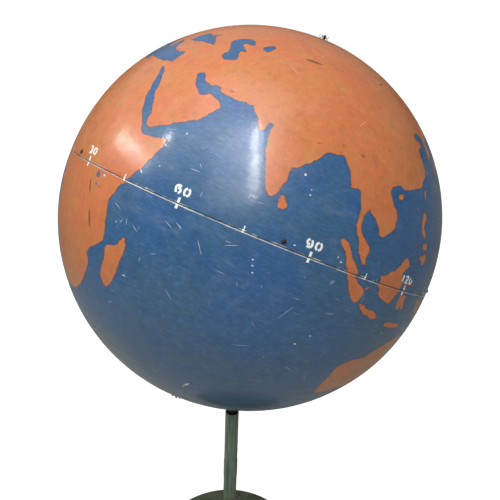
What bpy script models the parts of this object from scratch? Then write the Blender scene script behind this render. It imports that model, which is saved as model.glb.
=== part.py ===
"""Large painted sheet-metal terrestrial globe on a turning floor stand.

World frame: metres, +Z up, origin under the middle of the base, on the post axis. The polar rod
leans towards +X. Every globe piece hangs from the empty "globe_turn", which stands on the post axis.
"""

import math

import bmesh
import bpy
from mathutils import Matrix, Vector

MM = 0.001

# ---- driving dimensions -------------------------------------------------------------------------
GLOBE_RADIUS = 381.0 * MM
AXIS_TILT = math.radians(23.5)
CENTRE_HEIGHT = 899.0 * MM
SHELL_WALL = 1.2 * MM
SKIRT_HEIGHT = 3.5 * MM
SEAM_GAP = 0.6 * MM
PRIME_MERIDIAN_AZIMUTH = math.radians(161.9)

HUB_BELOW_CENTRE = 74.0 * MM
HUB_RADIUS = 22.0 * MM
HUB_LENGTH = 64.0 * MM
HUB_BOSS_RADIUS = 18.0 * MM
HUB_SEAT_WALL = 3.0 * MM
HUB_SCREW_RISE = 16.0 * MM
SPINDLE_RADIUS = 9.5 * MM
SPINDLE_SEAT_DEPTH = 32.0 * MM
SPINDLE_CHAMFER = 1.0 * MM

POLAR_ROD_RADIUS = 3.2 * MM
ROD_CHAMFER = 1.5 * MM
NORTH_ROD_REACH = 29.0 * MM
SOUTH_ROD_REACH = 40.0 * MM
POLE_CUP_RADIUS = 20.0 * MM
POLE_CUP_WALL = 2.0 * MM
NUT_ACROSS_FLATS = 11.1 * MM
NUT_HEIGHT = 5.6 * MM
SPLIT_PIN_RADIUS = 1.1 * MM
SPLIT_PIN_BELOW_END = 4.5 * MM
SPLIT_PIN_EYE_RADIUS = 2.9 * MM
SPLIT_PIN_LEG_LENGTH = 5.0 * MM
SPLIT_PIN_LEG_SPREAD = math.radians(38.0)
SPLIT_PIN_AZIMUTH = math.radians(150.0)

BAND_WIDTH = 40.0 * MM
BAND_WALL = 2.0 * MM
SEAM_SCREW_COUNT = 6
SEAM_SCREW_RISE = 7.5 * MM
SEAM_SCREW_FIRST_LONGITUDE = math.radians(83.7)
SEAM_SCREW_RADIUS = 2.0 * MM
SEAM_HEAD_RADIUS = 3.8 * MM
SEAM_HEAD_HEIGHT = 1.5 * MM

SHELL_HOLE_RADIUS = 14.0 * MM
PLATE_RADIUS = 42.0 * MM
PLATE_WALL = 2.0 * MM
PLATE_SCREW_COUNT = 3
PLATE_SCREW_CIRCLE = 31.0 * MM

POST_RADIUS = 15.9 * MM
POST_WALL = 2.0 * MM
POST_TOP_BELOW_SHELL = 90.0 * MM
BUSH_RECESS = 10.0 * MM
BUSH_LENGTH = 28.0 * MM
SLEEVE_HEIGHT = 44.0 * MM
SLEEVE_WALL = 0.6 * MM
SLEEVE_TOP_BELOW_POST_TOP = 136.0 * MM
THRUST_BALL_RADIUS = 6.0 * MM
PLUG_LENGTH = 34.0 * MM
PLUG_PIN_RADIUS = 3.0 * MM
PLUG_PIN_DEPTH = 21.0 * MM

BASE_RADIUS = 192.5 * MM
BASE_THICKNESS = 12.7 * MM
BASE_EDGE_RADIUS = 3.0 * MM
PAD_THICKNESS = 3.0 * MM
PAD_INSET = 8.0 * MM
FLANGE_RADIUS = 52.0 * MM
FLANGE_THICKNESS = 8.0 * MM
SOCKET_WALL = 7.0 * MM
SOCKET_HEIGHT = 52.0 * MM
SOCKET_CHAMFER = 2.0 * MM
BOLT_COUNT = 4
BOLT_RADIUS = 4.0 * MM
BOLT_LENGTH = 16.0 * MM
BOLT_HEAD_RADIUS = 7.5 * MM
BOLT_HEAD_HEIGHT = 5.3 * MM
SET_SCREW_RADIUS = 4.0 * MM
SOCKET_SCREW_RISE = 36.0 * MM

# ---- clearances ---------------------------------------------------------------------------------
CONTACT = 0.3 * MM          # between faces that touch on the real thing
RUNNING = 0.15 * MM         # between a turning shaft and its bush
SCREW_CLEARANCE = 0.35 * MM  # round a screw in its hole
CUT_OVERRUN = 2.0 * MM      # how far a cutter stands past the wall that it cuts
BALL_DIP = 2.0 * MM         # how far the thrust ball sinks into each of its two seats

# ---- shares that common hardware keeps --------------------------------------------------------
SLOT_WIDTH_SHARE = 0.32     # of the screw's radius
SLOT_DEPTH_SHARE = 0.55     # of the head's height
HEADLESS_SLOT_DEPTH = 1.2 * MM
CORNER_TURN_SHARE = 0.8     # of what a hexagon's corners stand past its flats
PIN_LEG_SHARE = 0.7         # of a split pin's radius

# ---- facets -------------------------------------------------------------------------------------
SHELL_STEPS = 48
SHELL_ROWS = 9
ROUND_STEPS = 32
SMALL_STEPS = 16
TINY_STEPS = 8
EDGE_STEPS = 3

# ---- derived places -----------------------------------------------------------------------------
CENTRE_OFFSET = HUB_BELOW_CENTRE * math.sin(AXIS_TILT)
HUB_HEIGHT = CENTRE_HEIGHT - HUB_BELOW_CENTRE * math.cos(AXIS_TILT)
POLE_HEIGHT = GLOBE_RADIUS + SKIRT_HEIGHT
POLE_HOLE_RADIUS = POLAR_ROD_RADIUS + SCREW_CLEARANCE
SHELL_BOTTOM = CENTRE_HEIGHT - math.sqrt(GLOBE_RADIUS ** 2 - CENTRE_OFFSET ** 2)
HOLE_TILT = math.asin(CENTRE_OFFSET / GLOBE_RADIUS)
POST_TOP = SHELL_BOTTOM - POST_TOP_BELOW_SHELL
POST_BORE = POST_RADIUS - POST_WALL
BASE_TOP = PAD_THICKNESS + CONTACT + BASE_THICKNESS
SLEEVE_TOP = POST_TOP - SLEEVE_TOP_BELOW_POST_TOP
PLUG_TOP = SLEEVE_TOP - (SLEEVE_HEIGHT - PLUG_LENGTH) / 2
PLUG_RADIUS = POST_BORE - CONTACT
PLUG_PIN_HEIGHT = PLUG_TOP - PLUG_PIN_DEPTH
BALL_HEIGHT = PLUG_TOP + THRUST_BALL_RADIUS - BALL_DIP
SPINDLE_BOTTOM = BALL_HEIGHT + THRUST_BALL_RADIUS - BALL_DIP
SPINDLE_BELOW_HUB = (SPINDLE_RADIUS + POLAR_ROD_RADIUS / math.cos(AXIS_TILT)
                     + HUB_SEAT_WALL) / math.tan(AXIS_TILT)
HUB_BOSS_LENGTH = SPINDLE_BELOW_HUB + SPINDLE_SEAT_DEPTH
SPINDLE_TOP = HUB_HEIGHT - SPINDLE_BELOW_HUB


# ---- helpers ------------------------------------------------------------------------------------
def clear_scene():
    for item in list(bpy.data.objects):
        bpy.data.objects.remove(item, do_unlink=True)


def collection(name):
    group = bpy.data.collections.new(name)
    bpy.context.scene.collection.children.link(group)
    return group


clear_scene()
PARTS = collection("terrestrial_globe")
CUTTERS = collection("cutters")


def paint(name, colour, roughness, metallic=0.0):
    """A plain Principled material."""
    material = bpy.data.materials.new(name)
    material.use_nodes = True
    shader = material.node_tree.nodes["Principled BSDF"]
    shader.inputs["Base Color"].default_value = (*colour, 1.0)
    shader.inputs["Roughness"].default_value = roughness
    shader.inputs["Metallic"].default_value = metallic
    return material


SEA_PAINT = paint("sea_paint", (0.05, 0.12, 0.27), 0.35)
LAND_PAINT = paint("land_paint", (0.62, 0.20, 0.08), 0.4)
POST_PAINT = paint("post_paint", (0.10, 0.13, 0.10), 0.45)
BASE_PAINT = paint("base_paint", (0.08, 0.09, 0.06), 0.5)
STEEL = paint("bare_steel", (0.45, 0.45, 0.44), 0.35, 1.0)
DARK_STEEL = paint("dark_steel", (0.10, 0.10, 0.10), 0.5, 1.0)
BRONZE = paint("bush_bronze", (0.55, 0.38, 0.18), 0.35, 1.0)
CAST_IRON = paint("cast_iron", (0.09, 0.09, 0.09), 0.7, 0.6)
ALUMINIUM = paint("spun_aluminium", (0.60, 0.61, 0.62), 0.4, 1.0)
RUBBER = paint("rubber_pad", (0.02, 0.02, 0.02), 0.9)


def empty(name, parent=None, location=(0, 0, 0), rotation=(0, 0, 0)):
    """A frame that pieces hang from."""
    item = bpy.data.objects.new(name, None)
    item.empty_display_size = 0.05
    PARTS.objects.link(item)
    item.parent = parent
    item.location = location
    item.rotation_euler = rotation
    return item


def place(name, mesh, material, parent=None, location=(0, 0, 0), rotation=(0, 0, 0)):
    """A visible piece; with no material it is a cutter instead."""
    item = bpy.data.objects.new(name, mesh)
    if material is None:
        CUTTERS.objects.link(item)
        item.hide_render = True
        item.display_type = "WIRE"
    else:
        PARTS.objects.link(item)
        mesh.materials.append(material)
    item.parent = parent
    item.location = location
    item.rotation_euler = rotation
    return item


def finish_mesh(name, bm, smooth=True):
    """Turns a bmesh into a mesh, smooth but for its sharp edges."""
    mesh = bpy.data.meshes.new(name)
    bmesh.ops.recalc_face_normals(bm, faces=bm.faces)
    bm.to_mesh(mesh)
    bm.free()
    if smooth:
        mesh.shade_smooth()
        mesh.set_sharp_from_angle(angle=math.radians(35))
    return mesh


def turned(name, profile, material, closed=True, steps=ROUND_STEPS, **where):
    """Spins a profile of (radius, height) points, its outer side running downwards."""
    mesh = bpy.data.meshes.new(name)
    edges = [(i, i + 1) for i in range(len(profile) - 1)]
    if closed:
        edges.append((len(profile) - 1, 0))
    mesh.from_pydata([(r, 0.0, z) for r, z in profile], edges, [])
    item = place(name, mesh, material, **where)
    screw = item.modifiers.new("turn", "SCREW")
    screw.axis = "Z"
    screw.angle = math.tau
    screw.steps = steps
    screw.render_steps = steps
    screw.use_merge_vertices = True
    screw.merge_threshold = 0.00001
    screw.use_smooth_shade = True
    return item


def cylinder_mesh(name, radius, low, high, steps=SMALL_STEPS, top_radius=None):
    """A solid cylinder or frustum between two heights."""
    bm = bmesh.new()
    bmesh.ops.create_cone(
        bm, cap_ends=True, segments=steps, radius1=radius,
        radius2=radius if top_radius is None else top_radius, depth=high - low)
    bmesh.ops.translate(bm, verts=bm.verts, vec=(0, 0, (high + low) / 2))
    return finish_mesh(name, bm)


def box_mesh(name, size, centre=(0, 0, 0)):
    bm = bmesh.new()
    bmesh.ops.create_cube(bm, size=1.0)
    bmesh.ops.scale(bm, verts=bm.verts, vec=size)
    bmesh.ops.translate(bm, verts=bm.verts, vec=centre)
    return finish_mesh(name, bm, smooth=False)


def combine(target, tool, operation="DIFFERENCE"):
    """Cuts, joins or intersects the target with a cutter object."""
    change = target.modifiers.new(tool.name, "BOOLEAN")
    change.operation = operation
    change.solver = "EXACT"
    change.object = tool
    return target


def arc(radius, start, stop, count, centre=0.0):
    """Points on a circle about (0, centre), the angle measured from +Z towards +X."""
    angles = [start + (stop - start) * i / count for i in range(count + 1)]
    return [(radius * math.sin(a), centre + radius * math.cos(a)) for a in angles]


def ring(outer, inner, low, high):
    """The profile of a plain tube or washer."""
    return [(outer, high), (outer, low), (inner, low), (inner, high)]


# ---- frames -------------------------------------------------------------------------------------
globe_turn = empty("globe_turn", location=(0, 0, POST_TOP))
globe_frame = empty(
    "globe_frame", globe_turn, (CENTRE_OFFSET, 0, CENTRE_HEIGHT - POST_TOP), (0, AXIS_TILT, 0))
hole_frame = empty(
    "hole_frame", globe_turn, (CENTRE_OFFSET, 0, CENTRE_HEIGHT - POST_TOP), (0, HOLE_TILT, 0))
hub_frame = empty("hub_frame", globe_frame, (0, 0, -HUB_BELOW_CENTRE))


def above_turn(height):
    """A world height as a height above the globe_turn empty."""
    return height - POST_TOP


# ---- screws -------------------------------------------------------------------------------------
def slotted_screw(name, radius, length, head, material, **where):
    """A slotted screw along Z, its head's underside at 0; head is (radius, height) or None."""
    slot_deep = HEADLESS_SLOT_DEPTH
    if head:
        head_radius, head_height = head
        dome = arc(1.0, 0.0, math.pi / 2, EDGE_STEPS)
        profile = [(head_radius * x, head_height * z) for x, z in dome]
        profile += [(radius, 0.0), (radius, -length), (0.0, -length)]
        slot_radius = head_radius
        top = head_height
        slot_deep = head_height * SLOT_DEPTH_SHARE
    else:
        profile = [(0.0, 0.0), (radius, 0.0), (radius, -length), (0.0, -length)]
        slot_radius = radius
        top = 0.0
    screw = turned(name, profile, material, closed=False, steps=SMALL_STEPS, **where)
    slot_size = (4 * slot_radius, SLOT_WIDTH_SHARE * radius, 2 * slot_deep)
    slot = place(name + "_slot", box_mesh(name + "_slot", slot_size, (0, 0, top)), None, **where)
    return combine(screw, slot)


# ---- globe shells -------------------------------------------------------------------------------
def pole_angle(radius, sphere_radius):
    """The angle from the pole at which a sphere reaches a given distance from the polar rod."""
    return math.asin(radius / sphere_radius)


def shell_face(radius):
    """One face of a shell from its pole hole to its rim, with rows where fittings lie on it."""
    band_angle = math.acos((BAND_WIDTH / 2 - SKIRT_HEIGHT) / radius)
    points = arc(radius, pole_angle(POLE_HOLE_RADIUS, radius),
                 pole_angle(POLE_CUP_RADIUS, radius), 1, SKIRT_HEIGHT)
    points += arc(radius, pole_angle(POLE_CUP_RADIUS, radius), band_angle, SHELL_ROWS,
                  SKIRT_HEIGHT)[1:]
    points += [(radius, SKIRT_HEIGHT), (radius, SEAM_GAP / 2)]
    return points


def hemisphere_profile(sign):
    """A spun shell with a short straight skirt; sign is +1 for the north and -1 for the south."""
    outer = shell_face(GLOBE_RADIUS)
    inner = shell_face(GLOBE_RADIUS - SHELL_WALL)
    loop = outer + inner[::-1]
    if sign < 0:
        loop = [(r, -z) for r, z in reversed(loop)]
    return loop


def seam_screw_frames(distance):
    """Frames of the screws above the seam, their Z pointing outwards, at a distance out."""
    elevation = math.asin((SEAM_SCREW_RISE - SKIRT_HEIGHT) / GLOBE_RADIUS)
    frames = []
    for k in range(SEAM_SCREW_COUNT):
        azimuth = (PRIME_MERIDIAN_AZIMUTH + SEAM_SCREW_FIRST_LONGITUDE
                   + math.tau * k / SEAM_SCREW_COUNT)
        turn = Matrix.Rotation(azimuth, 4, "Z") @ Matrix.Rotation(math.pi / 2 - elevation, 4, "Y")
        frames.append(Matrix.Translation((0, 0, SKIRT_HEIGHT)) @ turn
                      @ Matrix.Translation((0, 0, distance)))
    return frames


def joined_cutter(name, meshes_and_matrices, parent):
    """One cutter made of several separate solids."""
    bm = bmesh.new()
    for mesh, matrix in meshes_and_matrices:
        part = bmesh.new()
        part.from_mesh(mesh)
        part.transform(matrix)
        moved = bpy.data.meshes.new(name + "_piece")
        part.to_mesh(moved)
        part.free()
        bm.from_mesh(moved)
        bpy.data.meshes.remove(moved)
    return place(name, finish_mesh(name, bm), None, parent)


def seam_hole_cutter():
    hole = cylinder_mesh("seam_hole", SEAM_SCREW_RADIUS + SCREW_CLEARANCE,
                         -SHELL_WALL - BAND_WALL - 3 * CUT_OVERRUN, CUT_OVERRUN)
    frames = seam_screw_frames(GLOBE_RADIUS)
    return joined_cutter("seam_holes", [(hole, frame) for frame in frames], globe_frame)


def build_shells():
    seam_holes = seam_hole_cutter()
    north = turned("north_hemisphere", hemisphere_profile(1), LAND_PAINT, steps=SHELL_STEPS,
                   parent=globe_frame)
    combine(north, seam_holes)
    south = turned("south_hemisphere", hemisphere_profile(-1), SEA_PAINT, steps=SHELL_STEPS,
                   parent=globe_frame)
    opening = cylinder_mesh("shell_opening", SHELL_HOLE_RADIUS, SHELL_BOTTOM - 8 * CUT_OVERRUN,
                            SHELL_BOTTOM + 8 * CUT_OVERRUN, ROUND_STEPS)
    opening_cutter = place("shell_opening", opening, None, globe_turn, (0, 0, -POST_TOP))
    combine(south, opening_cutter)
    combine(south, plate_hole_cutter())
    band_edge = BAND_WIDTH / 2 - SKIRT_HEIGHT
    inner_radius = GLOBE_RADIUS - SHELL_WALL
    facet_loss = inner_radius * (1 - math.cos(math.pi / SHELL_STEPS))
    band_outer = math.sqrt(inner_radius ** 2 - band_edge ** 2) - CONTACT - facet_loss
    band = turned("equator_band",
                  ring(band_outer, band_outer - BAND_WALL, -BAND_WIDTH / 2, BAND_WIDTH / 2),
                  ALUMINIUM, steps=SHELL_STEPS, parent=globe_frame)
    combine(band, seam_holes)
    for k, matrix in enumerate(seam_screw_frames(GLOBE_RADIUS + CONTACT)):
        slotted_screw(f"seam_screw_{k + 1}", SEAM_SCREW_RADIUS,
                      SHELL_WALL + BAND_WALL + 3 * CUT_OVERRUN,
                      (SEAM_HEAD_RADIUS, SEAM_HEAD_HEIGHT), STEEL, parent=globe_frame,
                      location=matrix.to_translation(), rotation=matrix.to_euler())


# ---- plate round the spindle --------------------------------------------------------------------
def plate_screw_frames():
    """Frames of the screws that hold the plate, in the hole_frame empty's axes."""
    frames = []
    lean = math.asin(PLATE_SCREW_CIRCLE / GLOBE_RADIUS)
    for k in range(PLATE_SCREW_COUNT):
        turn = Matrix.Rotation(math.tau * (k + 0.5) / PLATE_SCREW_COUNT, 4, "Z")
        frames.append(turn @ Matrix.Rotation(math.pi - lean, 4, "Y"))
    return frames


def skirt_shift():
    """Where the southern shell's own centre lies, in the hole_frame empty's axes."""
    centre = Vector((0, 0, -SKIRT_HEIGHT))
    centre.rotate(Matrix.Rotation(AXIS_TILT - HOLE_TILT, 3, "Y"))
    return Matrix.Translation(centre)


def plate_hole_cutter():
    hole = cylinder_mesh("plate_hole", SEAM_SCREW_RADIUS + SCREW_CLEARANCE,
                         GLOBE_RADIUS - 4 * CUT_OVERRUN, GLOBE_RADIUS + 4 * CUT_OVERRUN)
    return joined_cutter(
        "plate_holes", [(hole, skirt_shift() @ frame) for frame in plate_screw_frames()],
        hole_frame)


def build_plate():
    inner_face = GLOBE_RADIUS + CONTACT
    outer_face = inner_face + PLATE_WALL
    hole_angle = math.asin(SHELL_HOLE_RADIUS / GLOBE_RADIUS)
    rim_angle = math.asin(PLATE_RADIUS / GLOBE_RADIUS)
    upper = [(r, -z) for r, z in arc(inner_face, hole_angle, rim_angle, EDGE_STEPS)]
    lower = [(r, -z) for r, z in arc(outer_face, rim_angle, hole_angle, EDGE_STEPS)]
    shift = skirt_shift()
    plate = turned("spindle_plate", upper + lower, STEEL, parent=hole_frame,
                   location=shift.to_translation())
    combine(plate, bpy.data.objects["plate_holes"])
    for k, frame in enumerate(plate_screw_frames()):
        matrix = shift @ frame @ Matrix.Translation((0, 0, outer_face + CONTACT))
        slotted_screw(f"plate_screw_{k + 1}", SEAM_SCREW_RADIUS, PLATE_WALL + SHELL_WALL + 3 * MM,
                      (SEAM_HEAD_RADIUS, SEAM_HEAD_HEIGHT), STEEL, parent=hole_frame,
                      location=matrix.to_translation(), rotation=matrix.to_euler())


# ---- polar rod and its fittings -----------------------------------------------------------------
def hex_mesh(name, across_flats, low, high):
    """A hexagonal prism with its corners turned off at both ends."""
    corner = across_flats / 2 / math.cos(math.pi / 6)
    bm = bmesh.new()
    bmesh.ops.create_cone(bm, cap_ends=True, segments=6, radius1=corner, radius2=corner,
                          depth=high - low)
    bmesh.ops.translate(bm, verts=bm.verts, vec=(0, 0, (high + low) / 2))
    rims = [e for e in bm.edges if abs(e.verts[0].co.z - e.verts[1].co.z) < 1e-6]
    bmesh.ops.bevel(bm, geom=rims, offset=(corner - across_flats / 2) * CORNER_TURN_SHARE, segments=1,
                    profile=0.5, affect="EDGES", material=-1)
    return finish_mesh(name, bm, smooth=False)


def hex_nut(name, low, bore, **where):
    nut = place(name, hex_mesh(name, NUT_ACROSS_FLATS, low, low + NUT_HEIGHT), STEEL, **where)
    hole = cylinder_mesh(name + "_bore", bore, low - CUT_OVERRUN, low + NUT_HEIGHT + CUT_OVERRUN)
    return combine(nut, place(name + "_bore", hole, None, **where))


def dished_washer(name, face_radius, sign, material):
    """A washer that follows a spherical face; its inner surface is at face_radius."""
    hole = pole_angle(POLE_HOLE_RADIUS, face_radius)
    rim = pole_angle(POLE_CUP_RADIUS, face_radius)
    outer = arc(face_radius + POLE_CUP_WALL, hole, rim, 1, SKIRT_HEIGHT)
    inner = arc(face_radius, rim, hole, 1, SKIRT_HEIGHT)
    loop = outer + inner
    if sign < 0:
        loop = [(r, -z) for r, z in reversed(loop)]
    return turned(name, loop, material, parent=globe_frame)


def build_polar_fittings():
    rod_top = POLE_HEIGHT + NORTH_ROD_REACH
    rod_low = -POLE_HEIGHT - SOUTH_ROD_REACH
    core = POLAR_ROD_RADIUS - ROD_CHAMFER
    rod = turned("polar_rod",
                 [(0.0, rod_top), (core, rod_top), (POLAR_ROD_RADIUS, rod_top - ROD_CHAMFER),
                  (POLAR_ROD_RADIUS, rod_low + ROD_CHAMFER), (core, rod_low), (0.0, rod_low)],
                 DARK_STEEL, closed=False, steps=SMALL_STEPS, parent=globe_frame)
    bore = POLAR_ROD_RADIUS + CONTACT
    nut_seat = POLE_HEIGHT + CONTACT + POLE_CUP_WALL + CONTACT
    lock_seat = nut_seat + NUT_HEIGHT + CONTACT
    jam_seat = POLE_HEIGHT - SHELL_WALL - CONTACT - POLE_CUP_WALL - CONTACT - NUT_HEIGHT
    ends = (("north", 1, rod_top), ("south", -1, rod_low))
    for side, sign, rod_end in ends:
        dished_washer(side + "_outer_cup", GLOBE_RADIUS + CONTACT, sign, STEEL)
        dished_washer(side + "_inner_cup",
                      GLOBE_RADIUS - SHELL_WALL - CONTACT - POLE_CUP_WALL, sign, STEEL)
        flip = (0, 0, 0) if sign > 0 else (math.pi, 0, 0)
        hex_nut(side + "_pole_nut", nut_seat, bore, parent=globe_frame, rotation=flip)
        hex_nut(side + "_lock_nut", lock_seat, bore, parent=globe_frame, rotation=flip)
        hex_nut(side + "_jam_nut", jam_seat, bore, parent=globe_frame, rotation=flip)
        split_pin(side + "_split_pin", rod, rod_end - sign * SPLIT_PIN_BELOW_END)


def split_pin(name, rod, height):
    """A pin through the rod along +X of its own frame: an eye at one end, two bent legs."""
    reach = POLAR_ROD_RADIUS + 2 * SPLIT_PIN_RADIUS
    eye_place = reach + SPLIT_PIN_EYE_RADIUS
    where = dict(parent=globe_frame, location=(0, 0, height), rotation=(0, 0, SPLIT_PIN_AZIMUTH))
    along_x = Matrix.Rotation(math.pi / 2, 4, "Y")
    shank = cylinder_mesh(name, SPLIT_PIN_RADIUS, -reach, reach + SPLIT_PIN_RADIUS, TINY_STEPS)
    shank.transform(along_x)
    pin = place(name, shank, STEEL, **where)
    eye_profile = [(SPLIT_PIN_EYE_RADIUS + r, z)
                   for r, z in arc(SPLIT_PIN_RADIUS, 0.0, math.tau, TINY_STEPS)[:-1]]
    eye = turned(name + "_eye", eye_profile, None, steps=SMALL_STEPS, parent=globe_frame)
    eye.matrix_local = (Matrix.Translation((0, 0, height))
                        @ Matrix.Rotation(SPLIT_PIN_AZIMUTH, 4, "Z")
                        @ Matrix.Translation((eye_place, 0, 0))
                        @ Matrix.Rotation(math.pi / 2, 4, "X"))
    combine(pin, eye, "UNION")
    for side in (-1, 1):
        leg = cylinder_mesh(name + "_leg", SPLIT_PIN_RADIUS * PIN_LEG_SHARE, -SPLIT_PIN_LEG_LENGTH,
                            SPLIT_PIN_RADIUS, TINY_STEPS)
        leg.transform(Matrix.Translation((-reach + SPLIT_PIN_RADIUS, 0, 0)) @ along_x
                      @ Matrix.Rotation(side * SPLIT_PIN_LEG_SPREAD, 4, "Y"))
        combine(pin, place(f"{name}_leg_{side}", leg, None, **where), "UNION")
    hole = cylinder_mesh(name + "_hole", SPLIT_PIN_RADIUS + CONTACT,
                         -POLAR_ROD_RADIUS - CUT_OVERRUN, POLAR_ROD_RADIUS + CUT_OVERRUN,
                         TINY_STEPS)
    hole.transform(along_x)
    combine(rod, place(name + "_hole", hole, None, **where))


# ---- hub and spindle ----------------------------------------------------------------------------
def build_hub():
    """A cast block: a barrel round the polar rod and a boss that drops over the spindle."""
    barrel = cylinder_mesh("hub_block", HUB_RADIUS, -HUB_LENGTH / 2, HUB_LENGTH / 2, ROUND_STEPS)
    hub = place("hub_block", barrel, CAST_IRON, hub_frame)
    boss = cylinder_mesh("hub_boss", HUB_BOSS_RADIUS, -HUB_BOSS_LENGTH, 0.0, ROUND_STEPS)
    upright = dict(parent=hub_frame, rotation=(0, -AXIS_TILT, 0))
    combine(hub, place("hub_boss", boss, None, **upright), "UNION")
    below_boss = (HUB_BOSS_RADIUS + 2 * POLAR_ROD_RADIUS) / math.sin(AXIS_TILT)
    rod_bore = cylinder_mesh("hub_rod_bore", POLAR_ROD_RADIUS + CONTACT,
                             -max(HUB_LENGTH / 2, below_boss) - CUT_OVERRUN,
                             HUB_LENGTH / 2 + CUT_OVERRUN)
    combine(hub, place("hub_rod_bore", rod_bore, None, hub_frame))
    seat_top = -SPINDLE_BELOW_HUB + CONTACT
    spindle_bore = cylinder_mesh("hub_spindle_bore", SPINDLE_RADIUS + CONTACT,
                                 -HUB_BOSS_LENGTH - CUT_OVERRUN, seat_top, ROUND_STEPS)
    combine(hub, place("hub_spindle_bore", spindle_bore, None, **upright))
    hub_set_screw("hub_rod_screw", hub_frame, HUB_SCREW_RISE, POLAR_ROD_RADIUS, HUB_RADIUS, 0.0)
    boss_frame = empty("boss_frame", hub_frame, rotation=(0, -AXIS_TILT, 0))
    hub_set_screw("hub_spindle_screw", boss_frame, -HUB_BOSS_LENGTH + SPINDLE_SEAT_DEPTH / 2,
                  SPINDLE_RADIUS, HUB_BOSS_RADIUS, math.pi / 2)


def hub_set_screw(name, frame, height, shaft_radius, block_radius, azimuth):
    """A headless screw that bites on a shaft, and the hole that it goes through."""
    hub = bpy.data.objects["hub_block"]
    rotation = (math.pi / 2, 0, azimuth)
    hole = cylinder_mesh(name + "_hole", SET_SCREW_RADIUS + SCREW_CLEARANCE, 0.0,
                         block_radius + CUT_OVERRUN)
    where = dict(parent=frame, location=(0, 0, height), rotation=rotation)
    combine(hub, place(name + "_hole", hole, None, **where))
    outer_end = block_radius - CONTACT
    direction = Matrix.Rotation(azimuth, 3, "Z") @ Vector((0, -1, 0))
    slotted_screw(name, SET_SCREW_RADIUS, outer_end - shaft_radius - CONTACT, None, DARK_STEEL,
                  parent=frame, location=Vector((0, 0, height)) + direction * outer_end,
                  rotation=rotation)


def build_spindle():
    seat_radius = math.sqrt(THRUST_BALL_RADIUS ** 2 - (THRUST_BALL_RADIUS - BALL_DIP) ** 2)
    seat_deep = BALL_DIP + CONTACT
    top = above_turn(SPINDLE_TOP)
    low = above_turn(SPINDLE_BOTTOM)
    turned("spindle",
           [(0.0, top), (SPINDLE_RADIUS - SPINDLE_CHAMFER, top),
            (SPINDLE_RADIUS, top - SPINDLE_CHAMFER), (SPINDLE_RADIUS, low + SPINDLE_CHAMFER),
            (SPINDLE_RADIUS - SPINDLE_CHAMFER, low),
            (seat_radius + 2 * CONTACT, low), (seat_radius - BALL_DIP / 2, low + seat_deep),
            (0.0, low + seat_deep)],
           STEEL, closed=False, parent=globe_turn)


# ---- post ---------------------------------------------------------------------------------------
def build_post():
    post = turned("post_tube", ring(POST_RADIUS, POST_BORE, BASE_TOP + CONTACT, POST_TOP),
                  POST_PAINT)
    pin_axis = dict(location=(0, 0, PLUG_PIN_HEIGHT), rotation=(math.pi / 2, 0, 0))
    pin_hole = cylinder_mesh("pin_hole", PLUG_PIN_RADIUS + CONTACT, -POST_RADIUS - CUT_OVERRUN,
                             POST_RADIUS + CUT_OVERRUN)
    pin_cutter = place("pin_hole", pin_hole, None, **pin_axis)
    combine(post, pin_cutter)
    for name, top in (("upper_bush", POST_TOP - BUSH_RECESS),
                      ("lower_bush", SPINDLE_BOTTOM + CUT_OVERRUN + BUSH_LENGTH)):
        turned(name, ring(POST_BORE - CONTACT, SPINDLE_RADIUS + RUNNING, top - BUSH_LENGTH, top),
               BRONZE)
    cup_radius = math.sqrt(THRUST_BALL_RADIUS ** 2 - (THRUST_BALL_RADIUS - BALL_DIP) ** 2)
    plug = turned("thrust_plug",
                  [(0.0, PLUG_TOP - BALL_DIP - CONTACT),
                   (cup_radius - BALL_DIP / 2, PLUG_TOP - BALL_DIP - CONTACT),
                   (cup_radius + 2 * CONTACT, PLUG_TOP), (PLUG_RADIUS, PLUG_TOP),
                   (PLUG_RADIUS, PLUG_TOP - PLUG_LENGTH), (0.0, PLUG_TOP - PLUG_LENGTH)],
                  STEEL, closed=False)
    combine(plug, pin_cutter)
    ball = bmesh.new()
    bmesh.ops.create_uvsphere(ball, u_segments=SMALL_STEPS, v_segments=SMALL_STEPS // 2,
                              radius=THRUST_BALL_RADIUS)
    place("thrust_ball", finish_mesh("thrust_ball", ball), STEEL, location=(0, 0, BALL_HEIGHT))
    pin = cylinder_mesh("plug_pin", PLUG_PIN_RADIUS, -POST_RADIUS + CONTACT, POST_RADIUS - CONTACT)
    place("plug_pin", pin, DARK_STEEL, **pin_axis)
    sleeve_bore = POST_RADIUS + CONTACT / 2
    turned("post_sleeve",
           ring(sleeve_bore + SLEEVE_WALL, sleeve_bore, SLEEVE_TOP - SLEEVE_HEIGHT, SLEEVE_TOP),
           POST_PAINT)


# ---- base ---------------------------------------------------------------------------------------
def bolt_places():
    circle = (FLANGE_RADIUS + POST_RADIUS + SOCKET_WALL) / 2
    for k in range(BOLT_COUNT):
        angle = math.tau * (k + 0.5) / BOLT_COUNT
        yield k, (circle * math.cos(angle), circle * math.sin(angle))


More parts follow.
